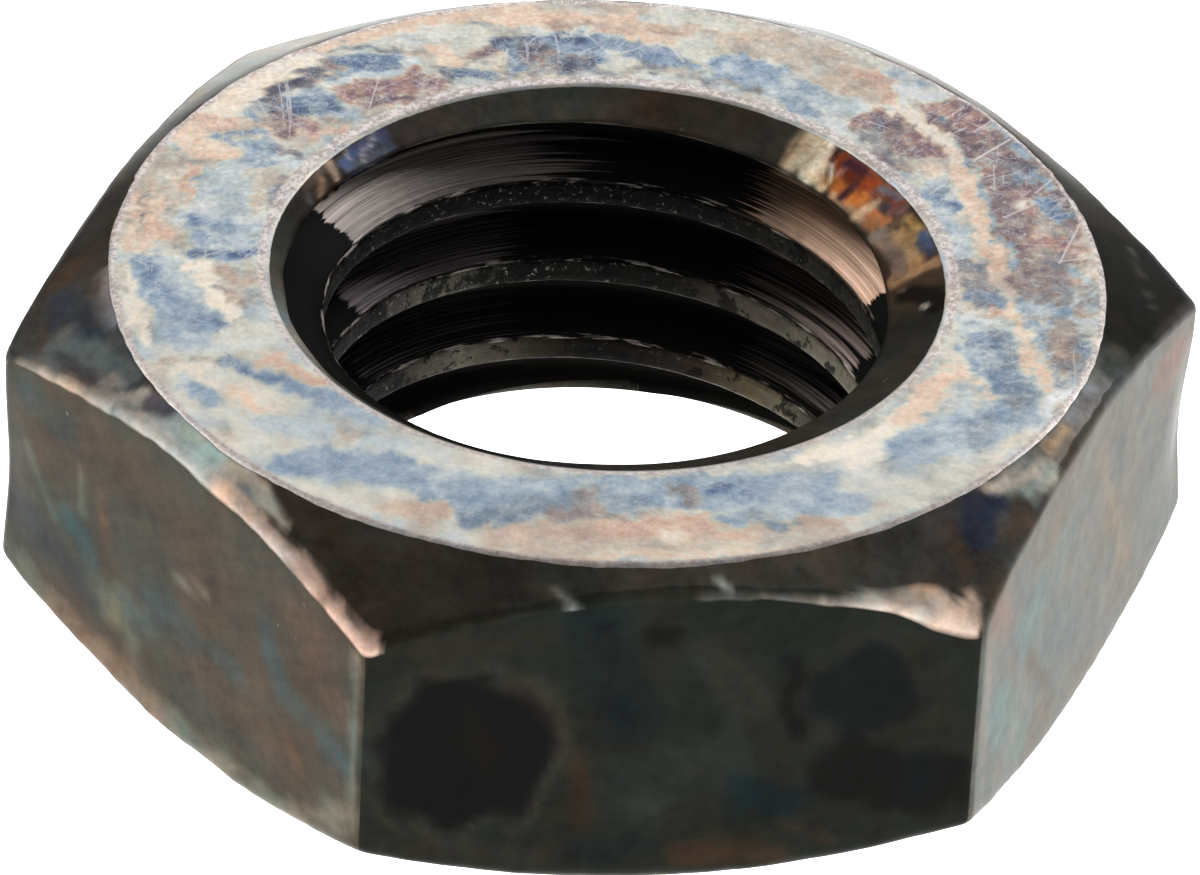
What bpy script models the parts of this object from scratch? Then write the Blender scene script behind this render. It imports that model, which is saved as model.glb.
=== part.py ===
"""Thin hexagon nut that clamps a sprocket on its shaft.

One solid of forged and turned steel: a hexagon with both ends faced and
chamfered, a bore with a countersink at each end, and a right-hand metric
thread cut through it.

The origin is at the centre of the bottom face, +Z runs up the bore, and two
opposite corners of the hexagon lie on the X axis. Lengths are in metres.
"""

import math

import bmesh
import bpy

MM = 0.001

# Hexagon
ACROSS_FLATS = 19.0 * MM
HEIGHT = 6.8 * MM
CORNER_ROUND = 0.30 * MM
EDGE_ROUND = 0.11 * MM

# Faced ends, chamfered outwards from a circle just inside the flats
TOP_FACE_INSET = 0.525 * MM
TOP_CHAMFER_ANGLE = math.radians(32.0)
BOTTOM_FACE_INSET = 0.525 * MM
BOTTOM_CHAMFER_ANGLE = math.radians(30.0)

# Right-hand thread, 60 degrees between its flanks
MAJOR_DIAMETER = 12.0 * MM
PITCH = 1.75 * MM
CREST_FLAT = 0.49 * MM
ROOT_FLAT = 0.22 * MM
FLANK_ANGLE = math.radians(30.0)
GROOVE_HEIGHT_AT_X = 0.30 * MM

# Countersink at each end, a little wider than the thread
SINK_LIP = 0.175 * MM
SINK_ANGLE = math.radians(30.0)

# Roundness of the turned surfaces
END_STEPS = 96
BORE_STEPS = 60

# How far a cutter runs past what it cuts, and how near points are merged
OVERCUT = 1.0 * MM
MERGE = 0.001 * MM

# Derived radii
CORNER_RADIUS = ACROSS_FLATS / math.sqrt(3.0)
TOP_FACE_RADIUS = ACROSS_FLATS / 2.0 - TOP_FACE_INSET
BOTTOM_FACE_RADIUS = ACROSS_FLATS / 2.0 - BOTTOM_FACE_INSET
ROOT_RADIUS = MAJOR_DIAMETER / 2.0
THREAD_DEPTH = (PITCH - CREST_FLAT - ROOT_FLAT) / 2.0 / math.tan(FLANK_ANGLE)
BORE_RADIUS = ROOT_RADIUS - THREAD_DEPTH
SINK_RADIUS = ROOT_RADIUS + SINK_LIP


def clear_scene():
    """Start from an empty file."""
    for item in list(bpy.data.objects):
        bpy.data.objects.remove(item, do_unlink=True)


def new_collection(name):
    collection = bpy.data.collections.new(name)
    bpy.context.scene.collection.children.link(collection)
    return collection


def scaled_steel():
    """Hot steel that has cooled to a dark, tinted oxide."""
    material = bpy.data.materials.new("tempered_steel")
    material.use_nodes = True
    shader = material.node_tree.nodes["Principled BSDF"]
    shader.inputs["Base Color"].default_value = (0.16, 0.15, 0.14, 1.0)
    shader.inputs["Metallic"].default_value = 1.0
    shader.inputs["Roughness"].default_value = 0.42
    return material


def profile_object(name, points, closed, collection):
    """Draw (radius, height) points as an outline in the XZ plane."""
    count = len(points)
    edges = [(index, index + 1) for index in range(count - 1)]
    if closed:
        edges.append((count - 1, 0))
    mesh = bpy.data.meshes.new(name)
    mesh.from_pydata([(radius, 0.0, height) for radius, height in points], edges, [])
    item = bpy.data.objects.new(name, mesh)
    collection.objects.link(item)
    return item


def add_screw(item, steps, turns=1, rise=0.0):
    """Turn an outline about Z, with a rise for each full turn."""
    screw = item.modifiers.new("turned", "SCREW")
    screw.axis = "Z"
    screw.steps = steps
    screw.render_steps = steps
    screw.iterations = turns
    screw.screw_offset = rise
    screw.use_merge_vertices = True
    screw.merge_threshold = MERGE
    return screw


def mark_as_cutter(item):
    item.hide_render = True
    item.display_type = "WIRE"


def add_boolean(item, operation, tool):
    boolean = item.modifiers.new(tool.name, "BOOLEAN")
    boolean.operation = operation
    boolean.solver = "EXACT"
    boolean.object = tool


def end_envelope(collection):
    """Turned blank whose ends are faced flat and then chamfered outwards."""
    reach = CORNER_RADIUS + OVERCUT
    top_drop = (reach - TOP_FACE_RADIUS) * math.tan(TOP_CHAMFER_ANGLE)
    bottom_rise = (reach - BOTTOM_FACE_RADIUS) * math.tan(BOTTOM_CHAMFER_ANGLE)
    outline = [
        (0.0, HEIGHT),
        (TOP_FACE_RADIUS, HEIGHT),
        (reach, HEIGHT - top_drop),
        (reach, bottom_rise),
        (BOTTOM_FACE_RADIUS, 0.0),
        (0.0, 0.0),
    ]
    item = profile_object("end_envelope", outline, False, collection)
    add_screw(item, END_STEPS)
    mark_as_cutter(item)
    return item


def bore_tool(collection):
    """Drill for the thread's crests with a countersink at each end."""
    slope = math.tan(SINK_ANGLE)
    depth = (SINK_RADIUS - BORE_RADIUS) * slope
    past_radius = SINK_RADIUS + OVERCUT / slope
    outline = [
        (0.0, HEIGHT + OVERCUT),
        (past_radius, HEIGHT + OVERCUT),
        (BORE_RADIUS, HEIGHT - depth),
        (BORE_RADIUS, depth),
        (past_radius, -OVERCUT),
        (0.0, -OVERCUT),
    ]
    item = profile_object("bore_tool", outline, False, collection)
    add_screw(item, BORE_STEPS)
    mark_as_cutter(item)
    return item


def thread_tool(collection):
    """Bar of the groove's section, carried up a right-hand helix.

    The bar starts and ends outside the nut, so the thread runs out through
    both countersinks.
    """
    past_crest = CREST_FLAT / 4.0
    inner_radius = BORE_RADIUS - past_crest / math.tan(FLANK_ANGLE)
    inner_half = (PITCH - CREST_FLAT) / 2.0 + past_crest
    root_half = ROOT_FLAT / 2.0
    lead_in = math.ceil(OVERCUT / PITCH) + 1
    turns = math.ceil(HEIGHT / PITCH) + 2 * lead_in
    start = GROOVE_HEIGHT_AT_X - lead_in * PITCH
    section = [
        (inner_radius, start + inner_half),
        (ROOT_RADIUS, start + root_half),
        (ROOT_RADIUS, start - root_half),
        (inner_radius, start - inner_half),
    ]
    guide = profile_object("thread_section", section, True, collection)
    add_screw(guide, BORE_STEPS, turns, PITCH)

    depsgraph = bpy.context.evaluated_depsgraph_get()
    mesh = bpy.data.meshes.new_from_object(guide.evaluated_get(depsgraph))
    bpy.data.objects.remove(guide, do_unlink=True)
    bar = bmesh.new()
    bar.from_mesh(mesh)
    bmesh.ops.remove_doubles(bar, verts=bar.verts[:], dist=MERGE)
    bmesh.ops.holes_fill(bar, edges=bar.edges[:], sides=len(section))
    bmesh.ops.recalc_face_normals(bar, faces=bar.faces[:])
    bar.to_mesh(mesh)
    bar.free()
    mesh.name = "thread_tool"
    item = bpy.data.objects.new("thread_tool", mesh)
    collection.objects.link(item)
    mark_as_cutter(item)
    return item


def hexagon_nut(parts, cutters):
    """Hexagon bar, cut by the turned ends, the bore and the thread."""
    blank_height = HEIGHT + 4.0 * OVERCUT
    bpy.ops.mesh.primitive_cylinder_add(
        vertices=6,
        radius=CORNER_RADIUS,
        depth=blank_height,
        location=(0.0, 0.0, HEIGHT / 2.0),
        rotation=(0.0, 0.0, math.radians(30.0)),
    )
    item = bpy.context.active_object
    item.name = "nut"
    item.data.name = "nut"
    for collection in list(item.users_collection):
        collection.objects.unlink(item)
    parts.objects.link(item)
    item.data.materials.append(scaled_steel())

    corners = item.modifiers.new("rounded_corners", "BEVEL")
    corners.width = CORNER_ROUND * math.tan(math.radians(30.0))
    corners.segments = 3
    corners.limit_method = "ANGLE"
    corners.angle_limit = math.radians(50.0)

    add_boolean(item, "INTERSECT", end_envelope(cutters))

    edges = item.modifiers.new("rounded_edges", "BEVEL")
    edges.width = EDGE_ROUND
    edges.segments = 2
    edges.limit_method = "ANGLE"
    edges.angle_limit = math.radians(25.0)

    add_boolean(item, "DIFFERENCE", bore_tool(cutters))
    add_boolean(item, "DIFFERENCE", thread_tool(cutters))
    item.data.shade_smooth()
    item.data.set_sharp_from_angle(angle=math.radians(25.0))
    return item


clear_scene()
nut_parts = new_collection("sprocket_nut")
nut_cutters = new_collection("cutters")
hexagon_nut(nut_parts, nut_cutters)
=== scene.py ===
import math

import bpy
import numpy as np
from mathutils import Matrix, Vector


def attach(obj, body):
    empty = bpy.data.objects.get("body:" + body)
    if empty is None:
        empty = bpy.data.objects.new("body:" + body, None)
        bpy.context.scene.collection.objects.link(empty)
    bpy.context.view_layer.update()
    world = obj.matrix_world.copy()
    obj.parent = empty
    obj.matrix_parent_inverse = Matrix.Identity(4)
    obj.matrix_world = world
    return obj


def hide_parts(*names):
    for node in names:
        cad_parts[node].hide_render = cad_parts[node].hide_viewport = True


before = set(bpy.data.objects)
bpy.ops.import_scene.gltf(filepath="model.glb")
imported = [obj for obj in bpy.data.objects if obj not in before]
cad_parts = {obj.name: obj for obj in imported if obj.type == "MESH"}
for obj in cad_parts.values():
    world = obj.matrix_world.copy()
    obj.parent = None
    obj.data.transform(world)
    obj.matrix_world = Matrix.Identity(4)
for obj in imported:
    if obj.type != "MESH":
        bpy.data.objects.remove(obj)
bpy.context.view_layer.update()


# The nut
# One thin hexagon nut of forged steel. Both ends are faced and chamfered on a lathe, the bore is
# countersunk at each end and a right-hand thread is cut through it. It rides on the only body.

MM = 0.001
ACROSS_FLATS = 19.0
HEIGHT = 6.8
CORNER_ROUND = 0.30
FACE_RADIUS = 8.975
TOP_CHAMFER = math.radians(32.0)
BOTTOM_CHAMFER = math.radians(30.0)
PITCH = 1.75
ROOT_RADIUS = 6.0
CREST_RADIUS = 5.10
ROOT_FLAT = 0.22
FLANK_SLOPE = 1.0 / math.tan(math.radians(30.0))
GROOVE_AT_X = 0.30
SINK_RADIUS = 6.175
SINK_SLOPE = 1.0 / math.tan(math.radians(30.0))
SINK_DEPTH = 0.66
SEAM_ANGLE = math.radians(-99.0)
COLUMNS = 520
CORNER_COLUMNS = (-1.1, -0.85, -0.62, -0.4, -0.2, 0.0, 0.2, 0.4, 0.62, 0.85, 1.1)
# How far the edges are rounded, from the true corner.
RIM_DEPTH = 0.05
RIM_LIP = 0.07
UNDER_RIM_DEPTH = 0.09
UNDER_RIM_LIP = 0.14
EDGE_WEAR = 0.13
LIP_WEAR = 0.10
FOOT_WEAR = 0.20
# Where and how deep the two side corners are pressed in. The arc is in degrees.
PRESSED_HEIGHT = 3.1
PRESSED_SPREAD = 1.45
PRESSED_ARC = 3.2
LEFT_PRESS = 0.12
RIGHT_PRESS = 0.17
# Where a thread crest begins, in pitches from the groove's centre.
CREST_EDGE = 0.363


def ripples(points, size, seed):
    """Uneven smooth field of spread 1: sines of random direction and phase, each about `size` long."""
    draw = np.random.default_rng(seed)
    way = draw.normal(size=(28, points.shape[-1]))
    way /= np.linalg.norm(way, axis=1, keepdims=True)
    wave = 2.0 * math.pi / size * draw.uniform(0.55, 1.7, (28, 1))
    phase = draw.uniform(0.0, 2.0 * math.pi, 28)
    return np.sin(points @ (way * wave).T + phase).sum(-1) / math.sqrt(14.0)


def rise(low, high, value):
    """Eased step from 0 at `low` to 1 at `high`: 3t^2 - 2t^3."""
    t = np.clip((value - low) / (high - low), 0.0, 1.0)
    return t * t * (3.0 - 2.0 * t)


def hexagon_radius(angle):
    """Distance from the axis to the side: flat/cos from its middle, or the arc of a rounded corner."""
    half = ACROSS_FLATS / 2.0
    off = np.abs(np.mod(angle, math.pi / 3.0) - math.pi / 6.0)
    flat = half / np.cos(off)
    arc_centre = (half - CORNER_ROUND) / math.cos(math.pi / 6.0)
    from_corner = math.pi / 6.0 - off
    inside = np.maximum(CORNER_ROUND**2 - (arc_centre * np.sin(from_corner)) ** 2, 0.0)
    arc = arc_centre * np.cos(from_corner) + np.sqrt(inside)
    meets = math.atan((half - CORNER_ROUND) * math.tan(math.pi / 6.0) / half)
    return np.where(off > meets, arc, flat)


def groove_centre(angle):
    """Height of the thread groove's centre, rising one pitch a turn."""
    return GROOVE_AT_X + PITCH * angle / (2.0 * math.pi)


def thread_radius(angle, height):
    """Sixty-degree thread: root flat, straight flanks and crest flat, rounded by a short average."""
    total = 0.0
    for shift in (-0.035, 0.0, 0.035):
        off = np.mod(height + shift - groove_centre(angle) + PITCH / 2.0, PITCH) - PITCH / 2.0
        flank = ROOT_RADIUS - (np.abs(off) - ROOT_FLAT / 2.0) * FLANK_SLOPE
        total = total + np.clip(flank, CREST_RADIUS, ROOT_RADIUS)
    return total / 3.0


def bore_radius(angle, height):
    """Wider of the thread and the two countersink cones."""
    top_cone = SINK_RADIUS - (HEIGHT - height) * SINK_SLOPE
    bottom_cone = SINK_RADIUS - height * SINK_SLOPE
    return np.maximum(thread_radius(angle, height), np.maximum(top_cone, bottom_cone))


def leg(start, end, steps):
    """Straight run of (radius, height) rows from start up to, but not at, end."""
    t = np.arange(steps).reshape(-1, 1, 1) / steps
    return start + (end - start) * t


def turn(start, corner, end, steps):
    """Rounded edge of rows: quadratic curve from start to end, drawn towards the corner."""
    t = np.arange(steps).reshape(-1, 1, 1) / steps
    return (1.0 - t) ** 2 * start + 2.0 * t * (1.0 - t) * corner + t**2 * end


def towards(start, end, distance):
    """Point a given distance from start on the way to end."""
    way = end - start
    return start + way / np.linalg.norm(way, axis=-1, keepdims=True) * distance[:, None]


# Columns stand at even angles, with more round each corner; the seam is on the hidden near side.
even = np.arange(COLUMNS) * 2.0 * math.pi / COLUMNS
corners = np.radians(np.arange(6)[:, None] * 60.0 + np.array(CORNER_COLUMNS)[None, :]).ravel()
angles = np.concatenate([even, np.mod(corners - SEAM_ANGLE, 2.0 * math.pi)])
angles = np.unique(np.round(angles, 4))
angles = np.append(angles, 2.0 * math.pi) + SEAM_ANGLE
count = len(angles) - 1
theta = angles[:count]
round_trip = np.column_stack([np.cos(theta), np.sin(theta)]) * ACROSS_FLATS / 2.0
edge_noise = ripples(round_trip, 2.2, 11) * 0.6 + ripples(round_trip, 0.7, 12) * 0.4


def near(angle_degrees, spread):
    """1 at an angle round the nut, falling off as a bell over `spread` degrees."""
    off = np.degrees(np.mod(theta - math.radians(angle_degrees) + math.pi, 2.0 * math.pi) - math.pi)
    return np.exp(-((off / spread) ** 2))


def at(radius, height):
    """One (radius, height) point for every column."""
    return np.stack(np.broadcast_arrays(radius, height, theta)[:2], axis=-1).astype(float)


side = hexagon_radius(theta)
top_edge = HEIGHT - (side - FACE_RADIUS) * math.tan(TOP_CHAMFER)
bottom_edge = (side - FACE_RADIUS) * math.tan(BOTTOM_CHAMFER)
bore_top = HEIGHT - SINK_DEPTH
rim_lip = RIM_LIP + 0.015 * edge_noise
face_corner = at(FACE_RADIUS, HEIGHT)
side_corner = at(side, top_edge)
foot_corner = at(side, bottom_edge)
base_corner = at(FACE_RADIUS, 0.0)
# The top edge of the left flat and two spots over the front flat are worn wider than the rest.
worn = EDGE_WEAR + 0.03 * edge_noise + 0.06 * near(-152.0, 24.0) + 0.28 * near(-62.0, 4.0)
worn = worn + 0.07 * near(-120.0, 6.0)
soft = LIP_WEAR + 0.02 * edge_noise
foot = FOOT_WEAR + 0.04 * edge_noise
rim_bottom = HEIGHT - RIM_DEPTH
sink_rows = [at(bore_radius(theta, z), z) for z in np.linspace(bore_top, rim_bottom, 15)[:-1]]
low_rows = [at(bore_radius(theta, z), z) for z in np.linspace(UNDER_RIM_DEPTH, SINK_DEPTH, 6)]
rim_start = at(bore_radius(theta, rim_bottom), rim_bottom)
rim_end = np.stack([SINK_RADIUS + rim_lip, np.full(count, HEIGHT)], axis=-1)
low_rim = at(SINK_RADIUS + UNDER_RIM_LIP, 0.0)
face_end = towards(face_corner, rim_end, soft)
cone_start = towards(face_corner, side_corner, soft)
cone_end = towards(side_corner, face_corner, worn)
flat_start = towards(side_corner, foot_corner, worn)
flat_end = towards(foot_corner, side_corner, foot)
foot_start = towards(foot_corner, base_corner, foot)
foot_end = towards(base_corner, foot_corner, soft)
base_start = towards(base_corner, low_rim, soft)
section = [
    ("sink", np.array(sink_rows)),
    ("rim", turn(rim_start, at(SINK_RADIUS, HEIGHT), rim_end, 3)),
    ("face", leg(rim_end, face_end, 33)),
    ("lip", turn(face_end, face_corner, cone_start, 3)),
    ("chamfer", leg(cone_start, cone_end, 9)),
    ("edge", turn(cone_end, side_corner, flat_start, 5)),
    ("flat", leg(flat_start, flat_end, 28)),
    ("foot", turn(flat_end, foot_corner, foot_start, 4)),
    ("under_chamfer", leg(foot_start, foot_end, 4)),
    ("under_lip", turn(foot_end, base_corner, base_start, 2)),
    ("under_face", leg(base_start, low_rim, 8)),
    ("under_rim", turn(low_rim, at(SINK_RADIUS, 0.0), low_rows[0], 2)),
    ("under_sink", np.array(low_rows)),
]
rows = np.concatenate([part for _, part in section])
row_zone = np.concatenate([np.full(len(part), name) for name, part in section])
ring_radius, ring_height = rows[..., 0], rows[..., 1]
ring_angle = np.broadcast_to(theta, ring_radius.shape)

# Lines of the bore follow the helix, so that the thread's edges run along them.
marks = (-0.09, 0.09, 0.14, 0.31, 0.47, 0.60, 0.66, 0.77, 0.875, 0.98, 1.09, 1.15, 1.29, 1.45, 1.61)
per_turn = len(marks)
turns = np.arange(-2, math.ceil(HEIGHT / PITCH) + 2)
line_base = (groove_centre(SEAM_ANGLE) + turns[:, None] * PITCH + np.array(marks)).ravel()
line_height = line_base[:, None] + PITCH * (angles - SEAM_ANGLE)[None, :] / (2.0 * math.pi)
line_height = line_height[(line_base > SINK_DEPTH - 2.0 * PITCH) & (line_base < bore_top + 0.2)]
too_low = line_height <= SINK_DEPTH + 0.012
too_high = line_height >= bore_top - 0.012
line_height = np.clip(line_height, SINK_DEPTH, bore_top)
lines = len(line_height)
line_angle = np.broadcast_to(angles, line_height.shape)
line_radius = bore_radius(line_angle, line_height)

# Number of each vertex: ring rows first, then bore lines; a line past an end takes the end row's.
ring_count = len(rows) * count
column = np.arange(count + 1) % count
number = ring_count + np.arange(lines)[:, None] * count + column[None, :]
after_seam = np.minimum(np.arange(lines) + per_turn, lines - 1)
number[:, count] = number[after_seam, 0]
low_row = (len(rows) - 1) * count + column[None, :]
number = np.where(too_low, low_row, np.where(too_high, column[None, :], number))
ring_number = np.arange(len(rows))[:, None] * count + column[None, :]


def triangles(grid):
    """Two triangles for each cell of a grid of vertex numbers, as places in the grid and numbers."""
    down, across = grid.shape
    place = np.arange(down * across).reshape(down, across)
    a, b, c, d = place[:-1, :-1], place[1:, :-1], place[1:, 1:], place[:-1, 1:]
    cells = np.stack([a, b, c, a, c, d], axis=-1).reshape(-1, 3)
    numbers = grid.ravel()[cells]
    kept = (numbers[:, 0] != numbers[:, 1]) & (numbers[:, 1] != numbers[:, 2])
    kept &= numbers[:, 0] != numbers[:, 2]
    return cells[kept], numbers[kept], np.nonzero(kept)[0] // (2 * (across - 1))


ring_cells, ring_faces, ring_row = triangles(ring_number)
line_cells, line_faces, _ = triangles(number)


def thread_map(angle, height):
    """U runs round the thread in turns, and V up across it in pitches from the groove's centre."""
    return np.stack([angle / (2.0 * math.pi), (height - groove_centre(angle)) / PITCH], axis=-1)


ring_map = thread_map(
    np.broadcast_to(angles, (len(rows), count + 1)),
    ring_height[:, column],
).reshape(-1, 2)
line_map = thread_map(line_angle, line_height).reshape(-1, 2)
corner_map = np.concatenate([ring_map[ring_cells], line_map[line_cells]]).reshape(-1, 2)
faces = np.concatenate([ring_faces, line_faces])
radius = np.concatenate([ring_radius.ravel(), line_radius[:, :count].ravel()])
height = np.concatenate([ring_height.ravel(), line_height[:, :count].ravel()])
angle = np.concatenate([ring_angle.ravel(), line_angle[:, :count].ravel()])
zone = np.concatenate([np.repeat(row_zone, count), np.full(lines * count, "thread")])
points = np.column_stack([radius * np.cos(angle), radius * np.sin(angle), height])

# Relief: the faced ends and flats are a little uneven, and the thread's crests are torn.
flat_ways = np.radians(np.arange(30.0, 390.0, 60.0))
which_flat = np.mod(np.floor(np.mod(angle, 2.0 * math.pi) / (math.pi / 3.0)).astype(int), 6)
flat_normal = np.column_stack([np.cos(flat_ways), np.sin(flat_ways)])[which_flat]
outside = np.isin(zone, ("edge", "flat", "foot"))
dimples = ripples(points, 4.5, 21) * 0.012 + ripples(points, 1.6, 22) * 0.002
points[outside, :2] -= flat_normal[outside] * np.abs(dimples[outside])[:, None]
on_top = zone == "face"
points[on_top, 2] -= np.abs(ripples(points[on_top], 1.3, 23)) * 0.004
# The two side corners have been pressed in a little at half their height.
turned = np.degrees(angle)
outward = np.column_stack([np.cos(angle), np.sin(angle), np.zeros(len(angle))])
pressed = np.exp(-(((height - PRESSED_HEIGHT) / PRESSED_SPREAD) ** 2)) * outside
at_left = np.exp(-(((turned - 180.0) / PRESSED_ARC) ** 2))
at_right = np.exp(-((turned / PRESSED_ARC) ** 2))
points -= outward * (pressed * (LEFT_PRESS * at_left + RIGHT_PRESS * at_right))[:, None]
crest = rise(CREST_RADIUS + 0.16, CREST_RADIUS, radius) * (zone == "thread")
tears = ripples(points, 0.5, 24) * 0.5 + ripples(points, 0.22, 25) * 0.5
points += outward * (crest * tears * 0.005)[:, None]

# The temper colours by name: how thick the brown film and the blue film lie, from 0 to 1.
TEMPER_TONES = {
    "bare": (0.00, 0.10),
    "cream": (0.15, 0.05),
    "peach": (0.30, 0.05),
    "tan": (0.45, 0.05),
    "russet": (0.60, 0.10),
    "brown": (0.70, 0.20),
    "grey": (0.15, 0.20),
    "dusty": (0.30, 0.25),
    "rose": (0.40, 0.20),
    "mist": (0.05, 0.30),
    "pale blue": (0.05, 0.40),
    "blue": (0.05, 0.50),
    "steel": (0.15, 0.55),
    "deep blue": (0.10, 0.65),
    "indigo": (0.20, 0.75),
    "slate": (0.30, 0.45),
    "mauve": (0.45, 0.40),
    "plum": (0.60, 0.35),
    "purple": (0.45, 0.60),
}
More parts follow.
